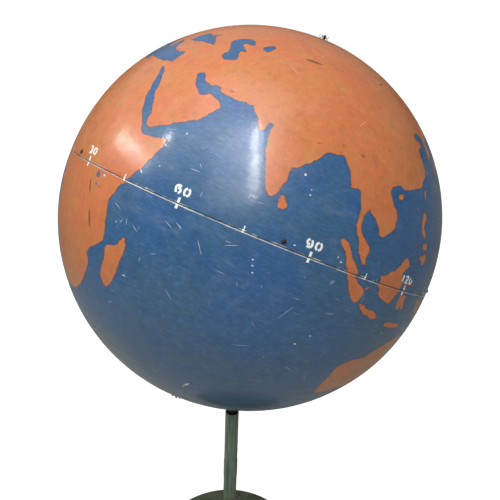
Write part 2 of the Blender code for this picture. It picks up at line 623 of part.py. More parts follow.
def build_base():
    pad_radius = BASE_RADIUS - PAD_INSET
    turned("base_pad", [(0.0, PAD_THICKNESS), (pad_radius, PAD_THICKNESS), (pad_radius, 0.0),
                        (0.0, 0.0)], RUBBER, closed=False, steps=SHELL_STEPS)
    low = PAD_THICKNESS + CONTACT
    rounded = [(BASE_RADIUS - BASE_EDGE_RADIUS + r, BASE_TOP - BASE_EDGE_RADIUS + z)
               for r, z in arc(BASE_EDGE_RADIUS, 0.0, math.pi / 2, EDGE_STEPS)]
    plate = turned("base_plate",
                   [(0.0, BASE_TOP)] + rounded + [(BASE_RADIUS, low), (0.0, low)],
                   BASE_PAINT, closed=False, steps=SHELL_STEPS)
    flange_low = BASE_TOP + CONTACT
    flange_top = flange_low + FLANGE_THICKNESS
    socket_radius = POST_RADIUS + SOCKET_WALL
    socket_top = flange_low + SOCKET_HEIGHT
    bore = POST_RADIUS + CONTACT
    socket = turned("base_socket",
                    [(socket_radius - SOCKET_CHAMFER, socket_top),
                     (socket_radius, socket_top - SOCKET_CHAMFER),
                     (socket_radius, flange_top + SOCKET_CHAMFER),
                     (socket_radius + SOCKET_CHAMFER, flange_top),
                     (FLANGE_RADIUS - SOCKET_CHAMFER, flange_top),
                     (FLANGE_RADIUS, flange_top - SOCKET_CHAMFER),
                     (FLANGE_RADIUS, flange_low), (bore, flange_low), (bore, socket_top)],
                    CAST_IRON)
    hole = cylinder_mesh("bolt_hole", BOLT_RADIUS + SCREW_CLEARANCE, flange_top - BOLT_LENGTH
                         - 2 * CONTACT, flange_top + CUT_OVERRUN)
    holes = joined_cutter("bolt_holes",
                          [(hole, Matrix.Translation((x, y, 0))) for _, (x, y) in bolt_places()],
                          None)
    combine(plate, holes)
    combine(socket, holes)
    for k, (x, y) in bolt_places():
        build_bolt(f"socket_bolt_{k + 1}", (x, y, flange_top + CONTACT))
    screw_height = flange_low + SOCKET_SCREW_RISE
    for k in range(2):
        azimuth = math.pi * k
        rotation = (math.pi / 2, 0, azimuth)
        name = f"socket_set_screw_{k + 1}"
        screw_hole = cylinder_mesh(name + "_hole", SET_SCREW_RADIUS + SCREW_CLEARANCE,
                                   POST_RADIUS, socket_radius + CUT_OVERRUN)
        combine(socket, place(name + "_hole", screw_hole, None, None, (0, 0, screw_height),
                              rotation))
        outward = Matrix.Rotation(azimuth, 3, "Z") @ Vector((0, -1, 0))
        slotted_screw(name, SET_SCREW_RADIUS, SOCKET_WALL - 2 * CONTACT, None, DARK_STEEL,
                      location=Vector((0, 0, screw_height)) + outward * (socket_radius - CONTACT),
                      rotation=rotation)


def build_bolt(name, location):
    """A hexagon bolt, its head's underside at the given place."""
    bolt = place(name, hex_mesh(name, 2 * BOLT_HEAD_RADIUS * math.cos(math.pi / 6), 0.0,
                                BOLT_HEAD_HEIGHT), STEEL, location=location)
    shank = cylinder_mesh(name + "_shank", BOLT_RADIUS, -BOLT_LENGTH, BOLT_HEAD_HEIGHT / 2)
    return combine(bolt, place(name + "_shank", shank, None, location=location), "UNION")


build_shells()
build_plate()
build_polar_fittings()
build_hub()
build_spindle()
build_post()
build_base()
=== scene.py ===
"""Finishes the floor-standing painted globe: shells, map paint, fittings, stand and stage.

Run it as a script in Blender. Every size is in metres, +Z is up, and the origin is under the base.
Map places are longitudes and latitudes in degrees, east and north positive.
"""

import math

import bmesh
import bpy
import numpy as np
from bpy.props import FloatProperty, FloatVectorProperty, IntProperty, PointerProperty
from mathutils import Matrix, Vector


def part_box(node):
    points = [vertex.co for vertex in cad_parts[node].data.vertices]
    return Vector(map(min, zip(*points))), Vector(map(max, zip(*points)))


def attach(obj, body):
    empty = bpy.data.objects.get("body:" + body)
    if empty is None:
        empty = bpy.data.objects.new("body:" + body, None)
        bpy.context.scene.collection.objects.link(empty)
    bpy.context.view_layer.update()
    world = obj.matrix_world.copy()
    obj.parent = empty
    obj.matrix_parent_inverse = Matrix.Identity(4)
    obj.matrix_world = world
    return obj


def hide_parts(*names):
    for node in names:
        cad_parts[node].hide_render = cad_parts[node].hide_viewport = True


bl_info = {
    "name": "Floor Globe Finisher",
    "version": (1, 0, 0),
    "blender": (4, 5, 0),
    "location": "View3D > Sidebar > Globe",
    "description": "Spins, paints and fits out a tin floor globe on its turning stand",
    "category": "Add Mesh",
}

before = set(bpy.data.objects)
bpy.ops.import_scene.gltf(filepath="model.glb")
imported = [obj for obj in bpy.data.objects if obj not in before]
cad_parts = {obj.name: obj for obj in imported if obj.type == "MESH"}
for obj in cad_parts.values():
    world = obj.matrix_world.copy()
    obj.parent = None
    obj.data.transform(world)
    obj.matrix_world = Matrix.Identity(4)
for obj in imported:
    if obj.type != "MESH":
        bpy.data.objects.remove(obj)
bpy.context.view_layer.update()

MM = 0.001
DEGREE = math.pi / 180

# ---- the globe's own axes, from the frame -------------------------------------------------------
AXIS_TILT = 23.5 * DEGREE
PRIME_MERIDIAN = 161.9 * DEGREE


def shell_measures():
    """The globe's centre, its radius and the height of one shell's straight skirt."""
    low_n, high_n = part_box("north_hemisphere")
    low_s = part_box("south_hemisphere")[0]
    centre = Vector(((high_n.x + low_s.x) / 2, 0.0, (high_n.z + low_s.z) / 2))
    radius = (high_n.y - low_n.y) / 2
    skirt = ((high_n.z - low_s.z) / 2 - radius) / math.cos(AXIS_TILT)
    return centre, radius, skirt


CENTRE, RADIUS, SKIRT = shell_measures()
GLOBE = Matrix.Translation(CENTRE) @ Matrix.Rotation(AXIS_TILT, 4, "Y")
UPRIGHT = Matrix.Identity(4)


def node_middle(node):
    """The middle of a CAD node's box."""
    low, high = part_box(node)
    return (low + high) / 2


def node_span(node, matrix=UPRIGHT):
    """A CAD node's lowest and highest corners in the axes of a matrix."""
    back = matrix.inverted()
    points = [back @ v.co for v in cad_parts[node].data.vertices]
    low = Vector(min(p[i] for p in points) for i in range(3))
    high = Vector(max(p[i] for p in points) for i in range(3))
    return low, high


# ---- land outlines, longitude and latitude ------------------------------------------------------
AFRICA = (
    (-6, 35.8), (1, 36.5), (10, 37.2), (11, 33.5), (15, 32.3), (19, 30.3), (20.5, 32.5), (25, 31.3),
    (29, 30.7), (32.3, 30.5), (34.2, 30.6), (34, 29), (33.4, 28.4), (34.6, 27.2), (35.8, 25),
    (36.3, 23), (37.3, 20.8), (37.7, 19.2), (39, 17.3), (39.8, 15.4), (41.2, 13.8), (42.7, 12.3),
    (43.0, 11.0), (44.6, 10.3), (48, 10.7), (50.6, 11.2), (51.7, 11.6), (51.2, 9.8), (50.0, 6.6),
    (48.4, 3.3),
    (46.4, 0.6), (45.6, -0.1), (44.3, -1.7), (43.6, -3.3), (42.7, -5), (42.9, -6.4), (43.5, -9.3),
    (44, -12), (44.1, -13.6), (43.7, -14.8), (42.6, -16), (41, -16.9), (39.5, -17.9), (38.3, -19.7),
    (39.1, -21), (39.1, -22.6), (38.3, -24.4), (36.6, -27.2), (35, -29.2), (32.7, -31.1),
    (30.6, -32.4), (28, -33.5), (25, -34.3), (20, -34.8), (18.3, -33.6), (17, -29.5), (15, -26.5),
    (14, -22), (11.8, -17), (13.6, -12), (12.5, -6.5), (9, -1), (9.7, 3.5), (6, 4.3), (2.5, 6.3),
    (-2, 4.8), (-7.5, 4.4), (-12.5, 7.5), (-15, 11), (-17.4, 14.7), (-16.5, 21), (-13, 27.5),
    (-9.8, 30.5))
EURASIA = (
    (31.5, 30.8), (35, 30.7), (35.3, 32.3), (35.9, 34), (35.6, 35.3), (32.5, 35), (30, 35.4),
    (28.3, 36.2), (27, 38), (26.4, 39.8), (24, 40.8), (22.9, 40), (24, 38), (22.8, 36.5), (21.3, 37.8),
    (19.4, 41), (16.5, 43.4), (13.6, 45.5), (12.4, 44.3), (14.2, 42.4), (18.4, 40.2), (16.9, 40.3),
    (16.2, 38.2), (15.6, 40), (12, 41.8), (9, 44.3), (5.5, 43.3), (3.2, 42.8), (0.5, 40.5),
    (-0.5, 38), (-5.5, 36.1), (-9, 37), (-8.8, 42.5), (-1.6, 43.4), (-1.2, 46), (-4.6, 48.2),
    (-1.5, 49.4), (2, 50.9), (5, 53.3), (8.3, 54), (8.3, 57), (10.6, 57.5), (11, 54.4), (14.5, 54.1),
    (19, 54.5), (21.2, 57.2), (24, 57.4), (23.6, 59.3), (28.5, 59.8), (28, 60.6), (22.8, 60.1),
    (21.4, 62), (25, 65), (22, 65.7), (17.3, 61.5), (18.6, 59.8), (16, 56.4), (13, 55.6), (11.2, 58.9),
    (8, 58.1), (5.2, 60), (10, 64), (15, 68.3), (21, 70.2), (29, 70.8), (41, 67.6), (37, 66.4),
    (35, 64.4), (39, 64.8), (44, 66.2), (46, 68), (54, 68.6), (61, 69.4), (68, 71.6), (73, 72),
    (72.6, 68.3), (75, 72.6), (87, 75), (103, 77.4), (113, 75), (119, 73.2), (130, 71.2), (140, 72.3),
    (155, 71), (170, 69.8), (180, 68.9), (190.3, 66.1), (182, 65.2), (178, 64.5), (179.5, 62.4),
    (170, 60), (163.5, 58), (162, 54.8), (156.8, 51.2), (155.8, 56), (160.5, 60.8), (156, 61.6),
    (150, 59.5), (142, 59.2), (135.4, 54.7), (141, 53), (140.4, 48.4), (135.5, 43.8), (130.8, 42.3),
    (127.6, 39.6), (129.4, 37), (129, 35.2), (126.4, 34.6), (125.5, 38), (124.3, 40), (121.6, 40.5),
    (119.2, 39.9), (117.7, 38.8), (118.3, 37.9), (122.8, 37.4), (120.6, 36.1), (118.9, 35.2),
    (118.9, 34.2), (120.4, 32.6), (121.2, 30.8), (121.1, 29.3), (120.3, 27.5), (119.3, 26.5),
    (118.8, 25.3), (117.3, 24.3), (115.4, 23.6), (113.2, 22.9), (112.2, 22.3), (110, 21.8),
    (108.4, 22.3), (107.2, 22), (105.9, 21.1), (105.4, 19.8), (105.9, 18.8), (106.9, 17.4),
    (108.3, 16.3), (109, 14.7), (109.1, 12.6), (108.4, 11.3), (106.8, 10.1), (105.9, 9.4), (105, 8.9),
    (104.5, 9.5), (104.3, 10.6), (103.1, 11.7), (102.5, 12.5), (101.4, 13), (100, 13.9), (99.3, 12.9),
    (99, 11), (99.3, 9.6), (100, 8.2), (101.3, 7.3), (102.7, 6.6), (103.3, 5.4), (103.1, 3.8),
    (103.7, 2.2), (102.9, 2), (101.5, 3.2), (100.2, 4.7), (100, 6.1), (99, 7.5), (97.7, 9.3),
    (97.9, 11.4), (97.7, 13.6), (96.8, 15.6), (96.5, 16.9), (95.9, 17.4), (95.2, 16.9), (93.7, 16.7),
    (93.4, 17.6), (93.1, 19.3), (92.5, 20.4), (91.3, 21.7), (90.2, 22.9), (88.6, 22.3), (87, 22.3),
    (85.9, 21.6), (84.9, 20.2), (83.4, 18.5), (81.8, 17.1), (80.8, 16), (79.6, 15.4), (79.5, 14.3),
    (79.7, 12.9), (79.1, 11.4), (78.7, 9.6), (77.5, 8.1), (76.6, 8.4), (75.9, 9.3), (75, 11.4),
    (74.2, 13.6), (73, 16.4), (72.4, 19), (72.1, 20.8), (72.2, 23.3), (71.2, 23.2), (70.8, 21.4),
    (70.3, 20.7), (69.6, 20.7), (68.8, 21.5), (68.6, 22.6), (67.7, 23.6), (66.6, 24.5), (65.7, 25.5),
    (62.5, 25.6), (61.5, 25.4), (58, 25.8), (56.5, 26.2), (55.7, 27.2), (54.4, 27.2), (53.5, 26.7),
    (52, 27.2), (50.5, 28), (49.6, 29.4), (48.7, 29.9), (47.5, 29.4), (47.3, 28.8), (48.1, 27.7),
    (49, 26.5), (49.8, 25.3), (51, 25), (51.6, 24), (52.7, 23.7), (53.6, 24.1), (54.3, 24.9),
    (55.4, 24.7), (57.5, 23.8), (58.8, 22.9), (59.1, 22.3), (58.3, 21.1), (57.3, 20), (56.9, 19),
    (55.8, 17.7), (54.2, 16.9), (51.5, 15.7), (50, 14.6), (48, 13.7), (46.2, 12.7), (44.8, 12.2),
    (43.7, 12.5), (43.2, 13.8), (42.9, 15.8), (41.9, 17.4), (40.4, 19.6), (39.4, 20.9), (39, 22.7),
    (38.1, 24.2), (37.1, 25.7), (36.3, 27.1), (35, 28.2), (33.4, 28.8), (31.5, 29.6))
NORTH_AMERICA = (
    (-168, 65.5), (-162, 66.5), (-166, 68.3), (-156, 71.2), (-141, 69.7), (-128, 70), (-115, 68),
    (-97, 68), (-94, 71.6), (-90, 69), (-85, 69.5), (-82, 67.5), (-87, 65), (-94, 61), (-93, 57.5),
    (-85, 55.3), (-82.3, 52.9), (-79.5, 51.3), (-78.8, 54.5), (-76.8, 57.5), (-77.8, 62.3),
    (-69.5, 61), (-67.5, 58.3), (-64.5, 60.3), (-61, 56.5), (-56.5, 53), (-60, 50.2), (-66.5, 50.2),
    (-64.5, 48.8), (-60.5, 46), (-66, 43.7), (-67, 44.8), (-70.5, 43), (-70, 41.7), (-74, 40.5),
    (-76, 36.5), (-78, 33.9), (-81, 31.5), (-80.2, 27), (-80.6, 25.2), (-82.4, 27), (-84, 30),
    (-89.5, 30), (-91.5, 29.3), (-95, 29.2), (-97.4, 27), (-97.6, 22.5), (-95.5, 18.6), (-92, 18.6),
    (-90.2, 21), (-87, 21.4), (-88.5, 16), (-83.5, 15.5), (-83.5, 11.2), (-81.5, 8.9), (-77, 9),
    (-76.8, 7.6), (-80, 7.3), (-83, 8.3), (-86, 11), (-88, 13.1), (-94, 16), (-101, 17.5),
    (-105.5, 20.3), (-106.5, 23), (-109.5, 26), (-112.7, 30), (-114.8, 31.6), (-112.5, 28),
    (-109.6, 23.2), (-112.2, 25.5), (-115, 28.5), (-117.2, 32.8), (-120.6, 34.5), (-122.5, 37.5),
    (-124.2, 40.5), (-124, 46), (-122.8, 49), (-128, 51.5), (-131, 55), (-135, 58.2), (-140, 59.7),
    (-147, 60.7), (-152, 59.2), (-158, 56.2), (-164.5, 54.6), (-158, 58.6), (-162, 58.8),
    (-165.5, 61.5), (-161, 64.4), (-166, 64.5))
SOUTH_AMERICA = (
    (-78.5, 8.6), (-75.5, 10.7), (-72, 12.2), (-68, 11), (-62, 10.6), (-57.5, 6.3), (-51.5, 4.3),
    (-50, 0.5), (-44, -2.7), (-38.5, -3.8), (-35.2, -5.5), (-35.2, -9), (-39, -13.5), (-39.7, -19),
    (-42, -22.8), (-48.5, -26), (-53.5, -33.8), (-57.5, -35.5), (-58, -38.3), (-62.3, -39),
    (-65, -42), (-66, -46), (-69, -50.5), (-65.3, -54.7), (-70, -55.3), (-75, -51), (-74, -43),
    (-73.3, -37.2), (-71.5, -31), (-70.2, -19.5), (-76.3, -13.8), (-80, -7), (-81.2, -4.5),
    (-80, 0.8), (-77.3, 4), (-78, 7.6))
AUSTRALIA = (
    (113.4, -23.2), (114.9, -21.6), (117, -20.1), (119.5, -19.6), (122.2, -18.7), (123.1, -17),
    (124.6, -16), (127.5, -14.2), (130, -12.8), (132.5, -11.4), (136.5, -12), (135.6, -15),
    (140.8, -17.6), (141.8, -13), (142.5, -10.8), (145, -15), (149, -20.6), (153, -25.5),
    (153.4, -29), (150, -37.3), (146.3, -38.9), (140.5, -38), (138, -35.3), (137.7, -33),
    (135.8, -34.7), (131.2, -31.5), (126, -32.3), (123.5, -33.9), (118, -34.8), (116.4, -33.6),
    (115.2, -30.2), (114.5, -26.8), (114, -25))
ANTARCTICA = (
    (-180, -78.2), (-160, -78.4), (-150, -77), (-135, -74.6), (-100, -73.5), (-75, -73), (-68, -69),
    (-58, -63.4), (-61, -68), (-62, -75), (-45, -78), (-25, -74.5), (-10, -71), (15, -69.8),
    (38, -69.4), (55, -66.2), (70, -69.6), (82, -67), (115, -66.2), (145, -66.9), (162, -70.5),
    (170, -72), (164, -77.6), (180, -78.2), (180, -90), (-180, -90))
ISLANDS = (
    # Indian Ocean and the east
    ((50, -11.1), (50.7, -11.6), (51.1, -13.3), (50.8, -15.5), (49.7, -20.4), (48.8, -22.9),
     (47.9, -24.5), (46.3, -25.3), (45, -24.4), (44.3, -22.6), (44.5, -20.8), (45.2, -18.6),
     (45, -16.9), (45.2, -15.2), (46.6, -14.5), (48.3, -14), (49, -12.7)),
    ((79.5, 9.3), (80.2, 9.6), (81.1, 8.8), (81.6, 7.3), (80.9, 6.6), (79.7, 6.7), (79.3, 7.9)),
    ((95, 5.7), (96.3, 5.9), (97.4, 5.5), (98.8, 3.8), (100, 2.5), (101.5, 1.6), (102.4, 0.2),
     (103.8, -1.1), (105.4, -1.4), (106.5, -2.3), (106.6, -3.7), (105.9, -5), (104.7, -5.3),
     (103.4, -4.6), (102, -3.2), (100.8, -1.2), (100, -0.3), (98.8, 0.2), (98.4, 2), (97, 3.6),
     (95.8, 4.7)),
    ((106.3, -5.1), (107.7, -5.1), (109.1, -5.7), (110.4, -6.1), (112, -5.9), (113.1, -6.4),
     (115.2, -7.5), (114.1, -8), (112.7, -8.1), (110.9, -7.5), (109.5, -7.5), (107.7, -6.6)),
    ((109.3, 1.5), (110.9, 1.6), (112.2, 2.7), (113.4, 3.4), (114.9, 5), (115.6, 6.6), (116.6, 7.2),
     (118.6, 6.1), (118.6, 5), (117.5, 4.3), (117, 3.4), (118.3, 1.6), (118.3, 0.2), (117.4, -1.2),
     (117, -3), (116.3, -3.5), (114.5, -3.2), (112, -2.6), (110.9, -1.8), (110.6, -0.5),
     (109.7, -0.3)),
    ((106.3, -0.7), (107.4, -0.9), (107.5, -1.8), (106.6, -1.8)),
    ((120, 1.7), (125, 1.8), (125, 1.2), (120.7, 0.9), (120.8, -0.5), (123.4, -0.4), (122.4, -1.4),
     (123.8, -3.4), (122.7, -4.4), (122, -2.9), (121.4, -4.5), (120.2, -4.2), (119.5, -2.3)),
    ((118, -8.3), (122.4, -7.9), (126.3, -7.8), (128.4, -8.6), (125.2, -9.3), (119.5, -9.2)),
    ((121.6, 8.3), (123.4, 9.1), (125.2, 9.7), (126.6, 9.2), (126.3, 8.1), (125.2, 6.8), (124.3, 6.5),
     (123.6, 7.5)),
    ((120, 19.3), (121.5, 19), (122.5, 17.2), (121.2, 16.1), (122.7, 14.5), (123.1, 13.2),
     (121.5, 13.4), (120.4, 14.9), (119.8, 16.8)),
    ((122.5, 12), (124.8, 12.4), (125.2, 10.6), (122.6, 10.4)),
    ((117.4, 9), (118.2, 9.2), (119.6, 11.2), (119, 11.3)),
    ((119.9, 24.4), (121, 25.2), (121.2, 23.4), (120.6, 22.2)),
    ((108.3, 19.6), (108.8, 20.4), (110, 20.8), (110.4, 20.3), (109.9, 19.3), (108.8, 18.9)),
    ((131, 34), (133, 35.5), (136.8, 37.3), (139.5, 38.5), (140.3, 41.2), (142, 39.5), (140.8, 35.7),
     (137, 34.6), (135.7, 33.5)),
    ((140, 42), (141.7, 45.4), (145.3, 43.3), (141.5, 42.3)),
    ((129.8, 33), (131.8, 33.5), (131.3, 31.3), (130.2, 31.3)),
    ((142, 46), (142.2, 54), (143.3, 52), (144.5, 49), (143, 47)),
    ((131, -0.9), (134.2, -0.9), (135, -3.3), (138, -1.7), (145.5, -4.5), (147.8, -6.2),
     (150.5, -10.4), (147, -9.4), (143, -9), (138.5, -8.2), (138, -5.5), (133, -4)),
    ((172.8, -34.5), (175.5, -36.8), (178.4, -37.7), (175.3, -41.5), (173.8, -39.3), (174.8, -37.5)),
    ((172.7, -40.6), (174.2, -41.8), (170.7, -45.9), (168.5, -46.6), (166.6, -45.8), (171, -42.5)),
    ((144.7, -40.8), (148.3, -40.9), (147.8, -43.2), (146, -43.5)),
    # North Atlantic and the Arctic
    ((-73, 78.2), (-60, 82), (-32, 83.5), (-18, 80), (-22, 72), (-32, 68), (-40, 65), (-43.5, 60),
     (-49, 61.5), (-53.5, 66.5), (-54, 71), (-60, 75.5), (-68, 76)),
    ((-80, 73.6), (-72, 71), (-62, 66.8), (-65, 62.5), (-72, 64.5), (-78, 65), (-74, 68), (-85, 70),
     (-89, 72)),
    ((-90, 76.5), (-77, 77), (-62, 82.4), (-78, 83), (-92, 81)),
    ((-117, 71.5), (-105, 73), (-102, 69), (-115, 69.2)),
    ((-125, 72), (-121, 74.3), (-116, 73), (-122, 71.2)),
    ((-24, 65.5), (-18, 66.2), (-13.7, 65), (-18.5, 63.4), (-22.5, 64)),
    ((-5.5, 50), (1.3, 51.2), (1.5, 52.8), (-1.5, 55), (-2, 57.6), (-4, 58.6), (-6, 56.5), (-3, 54.5),
     (-4.7, 53), (-5, 51.8)),
    ((-10, 51.8), (-6.2, 52.2), (-6, 54.5), (-8, 55.2), (-10, 54)),
    ((52, 71.5), (56, 73.5), (68, 76.8), (60, 76), (53, 73)),
    ((12, 78), (20, 80.2), (26, 80), (18, 76.8)),
    ((-84.8, 22), (-80.5, 23.1), (-74.3, 20.2), (-77.7, 19.9), (-82, 22.4)),
    ((-74.4, 18.4), (-71.5, 19.9), (-68.4, 18.5), (-71.5, 17.7)),
    ((12.5, 38), (15.5, 38.2), (15.2, 36.8)), ((8.3, 39), (9.6, 40.8), (9.5, 39.1)),
    ((32.4, 34.7), (33.4, 35.3), (34, 34.9), (33, 34.5)), ((23.6, 35.2), (26.2, 35.2), (25, 35)))
SEAS = (
    ((46.2, 44.6), (47.6, 45.9), (49.4, 46.8), (51.5, 47), (53.3, 46.5), (54.2, 44.6), (53.2, 44),
     (51.8, 44.5), (50.8, 43.9), (51, 43), (52.2, 42.2), (53.6, 41.3), (54.3, 40.6), (52.4, 40.3),
     (52.6, 38.9), (53.7, 37.7), (53.8, 36.5), (51.9, 36.1), (50.8, 35.6), (49.2, 36.3),
     (48.5, 37.6), (49.0, 39.1), (48.2, 40.9), (47.0, 42), (45.9, 43.5)),
    ((57.6, 44.7), (58.5, 45.8), (59.8, 46.7), (61.2, 46.2), (60.8, 44.6), (60, 43.3), (58.1, 43.6)),
    ((28, 41.2), (31.5, 40.7), (35, 41), (38, 40.5), (41.9, 40.3), (40.3, 42), (38.5, 43.4),
     (37, 44.7), (38.6, 46.3), (36, 45.6), (33.6, 44.6), (32.6, 46.1), (30.6, 46), (28.8, 44.4)),
    ((-92, 46.8), (-88.5, 48.6), (-84.7, 46.7), (-87.5, 46.5)),
    ((-87.6, 41.8), (-87, 45), (-84.5, 46), (-80.5, 45.4), (-82.5, 43.2), (-84.2, 45), (-86, 43)),
    ((-83, 41.7), (-79, 42.8), (-76.5, 43.8), (-79.5, 43.5)),
    ((-117, 65.4), (-121, 66.8), (-124, 66)), ((-116, 61.3), (-110, 62.8), (-113, 61.2)),
    ((30.5, 60), (33, 61.6), (31, 61.6)))
OPEN_SOUTH = -85

# ---- hand marks on the map: longitude, latitude, half length and half width in mm, turn in degrees
BROWN_LAKES = (
    (34.5, -4.6, 11.5, 2.3, -65), (37.5, -11.5, 15, 2.6, -70), (75.4, 46.4, 14, 3.2, 5),
    (106, 52.3, 12, 1.6, 50), (38, -3.6, 2.4, 1.3, 5))
BLUE_PATCHES = ((36.2, -1.1, 6.2, 5.2, -25), (38.2, -0.6, 3.6, 2.4, 10), (36.6, -3.4, 3.2, 2.6, 0))
PALE_CHIPS = (
    (38.4, -0.7, 2.6, 1.8, 0), (79.1, -4.2, 1.5, 1.1, 20), (79.5, -5.4, 1.6, 1.0, 0),
    (80.1, -6.8, 1.5, 1.2, 0), (82.8, 15.3, 1.7, 2.0, 0), (86.0, 0.8, 1.9, 1.0, 20),
    (55.0, 13.9, 1.2, 1.2, 0), (85.3, 11.7, 1.4, 1.0, 20), (85.2, 12.8, 1.0, 0.8, 0),
    (52.6, 5.2, 1.1, 0.8, 0),
    (96.2, 1.8, 1.4, 1.0, -40), (97.3, 1.0, 1.8, 1.3, -30), (96.6, -19.1, 2.2, 1.1, 0),
    (99.0, -16.0, 1.6, 0.9, 20), (48.7, 2.6, 3.4, 1.2, -40), (52.3, -19.8, 3.6, 0.9, 5),
    (77.2, -45.2, 7, 1.4, 75), (76.4, -46.2, 10, 0.9, 80))
SCRATCHES = (
    (62.1, -3.7, 6.5, 0.45, -25), (67.9, -6.1, 12, 0.4, -56), (74.0, -3.1, 10, 0.4, 23),
    (73.1, -2.7, 4.5, 0.35, 4), (73.7, -9.3, 7.5, 0.35, 1), (46.0, -5.5, 8, 0.4, -19),
    (52.3, -8.3, 7, 0.45, -31), (58.5, -11.7, 5, 0.35, 24), (59.7, -4.3, 7.5, 0.4, -24),
    (60.7, 7.3, 8, 0.4, 3), (61.4, 8.6, 4, 0.3, -50), (76.1, 6.2, 5, 0.3, 10),
    (90.5, -12.5, 16, 0.3, 62), (64.8, -19, 11, 0.3, -40), (100.5, -9.5, 9, 0.35, 15),
    (85, -24, 14, 0.3, 20), (71, 40, 12, 0.35, -30), (94, 33, 10, 0.3, 55))
DARK_STAINS = (
    (95.4, 24.9, 4.2, 1.8, 8), (89.5, 25.2, 2.6, 1.4, 30), (83.6, 23.2, 3.2, 1.2, 20),
    (59.2, 27.2, 3.6, 2.4, 0), (103.5, 29.5, 3, 2, 0), (65, 36, 2.4, 1.2, 40))

# ---- stencil figures: strokes in a cell one unit wide and one unit high ------------------------
LEFT_BOW = ((0.40, 1.0), (0.04, 0.82), (0.04, 0.18), (0.40, 0.0))
RIGHT_BOW = ((0.60, 1.0), (0.96, 0.82), (0.96, 0.18), (0.60, 0.0))
SIX = (((0.88, 0.93), (0.55, 1.04), (0.05, 0.92), (0.03, 0.45), (0.28, 0.0)),
       ((0.40, 0.60), (0.80, 0.64), (1.0, 0.38), (0.92, 0.10), (0.62, 0.0)))
FIGURES = {
    "0": (LEFT_BOW, RIGHT_BOW),
    "1": (((0.16, 0.80), (0.50, 0.98)), ((0.56, 1.0), (0.56, 0.0))),
    "2": (((0.06, 0.76), (0.30, 1.0), (0.90, 1.0), (0.92, 0.60), (0.30, 0.22)),
          ((0.08, 0.02), (0.96, 0.02))),
    "3": (((0.10, 0.93), (0.60, 1.04), (0.96, 0.80), (0.62, 0.56)),
          ((0.50, 0.48), (0.98, 0.42), (0.92, 0.0), (0.10, 0.04))),
    "5": (((0.90, 0.98), (0.16, 0.98), (0.14, 0.62)),
          ((0.20, 0.54), (0.72, 0.66), (1.0, 0.34), (0.78, 0.0), (0.10, 0.06))),
    "6": SIX,
    "8": (((0.42, 1.0), (0.06, 0.90), (0.10, 0.58), (0.46, 0.52)),
          ((0.58, 1.0), (0.94, 0.90), (0.90, 0.58), (0.56, 0.52)),
          ((0.42, 0.46), (0.0, 0.38), (0.04, 0.02), (0.42, 0.0)),
          ((0.58, 0.46), (1.0, 0.38), (0.96, 0.02), (0.58, 0.0))),
    "9": tuple(tuple((1 - x, 1 - y) for x, y in stroke) for stroke in SIX),
}


# ---- what a user may change ---------------------------------------------------------------------
def colour_setting(name, description, default):
    return FloatVectorProperty(name=name, description=description, subtype="COLOR", size=3,
                               min=0, max=1, default=default)


def length_setting(name, description, default):
    return FloatProperty(name=name, description=description, subtype="DISTANCE", unit="LENGTH",
                         default=default)


def angle_setting(name, description, default):
    return FloatProperty(name=name, description=description, subtype="ANGLE", unit="ROTATION",
                         default=default)


def number_setting(name, description, default):
    return FloatProperty(name=name, description=description, default=default)


class GlobeSettings(bpy.types.PropertyGroup):
    land_colour: colour_setting("Land", "Colour of the land paint", (0.60, 0.205, 0.075))
    sea_colour: colour_setting("Sea", "Colour of the sea paint", (0.031, 0.113, 0.290))
    figure_colour: colour_setting("Figures", "Colour of the stencilled figures", (0.94, 0.96, 0.96))
    figure_height: length_setting("Figure height", "Height of a stencilled figure", 13.8 * MM)
    figure_width: length_setting("Figure width", "Width of a stencilled figure", 12.3 * MM)
    stroke_width: length_setting("Stroke width", "Width of a stencil stroke", 3.3 * MM)
    dent_depth: length_setting("Dents", "How far the spun metal strays from a true sphere", 0.28 * MM)
    shell_steps: IntProperty(
        name="Shell steps", description="Facets round a shell", default=544, min=96, max=608)
    shell_rows: IntProperty(
        name="Shell rows", description="Rows from a pole to the seam", default=132, min=24, max=140)


class StandSettings(bpy.types.PropertyGroup):
    post_colour: colour_setting("Post", "Colour of the post's paint", (0.205, 0.268, 0.232))
    low_colour: colour_setting("Post foot", "Colour of the post's paint near the floor",
                               (0.120, 0.155, 0.080))
    base_colour: colour_setting("Base", "Colour of the base's paint", (0.100, 0.116, 0.072))
    thread_pitch: length_setting("Thread pitch", "Pitch of the polar rod's thread", 1.27 * MM)


class StageSettings(bpy.types.PropertyGroup):
    floor_colour: colour_setting("Floor", "Colour of the floor and backdrop", (0.47, 0.47, 0.41))
    camera_distance: length_setting("Camera distance", "From the globe's centre to the camera", 1.0455)
    camera_heading: angle_setting("Camera heading", "Turn of the camera round the globe, 0 from -Y",
                                  -29.5 * DEGREE)
    camera_pitch: angle_setting("Camera pitch", "How far the camera looks down", 15.32 * DEGREE)
    camera_roll: angle_setting("Camera roll", "Tilt of the camera about its own view", 2.08 * DEGREE)
    lens: number_setting("Lens", "Focal length in millimetres", 35.25)
    key_power: number_setting("Key light", "Power of the tall narrow window", 25.0)
    wide_power: number_setting("Wide light", "Power of the dim wide window", 14.0)
    lamp_power: number_setting("Lamp", "Power of the small hard side lamp", 4.0)
    side_power: number_setting("Side light", "Power of the low side light", 12.0)
    top_power: number_setting("Top light", "Power of the large overhead light", 30.0)
    room_light: number_setting("Room light",
                               "Strength of the room's light, which is brighter from one side", 0.30)
    floor_glow: number_setting("Floor glow",
                               "White light that the floor shows to the camera and casts on nothing", 0.98)


def settings():
    return bpy.context.scene.floor_globe


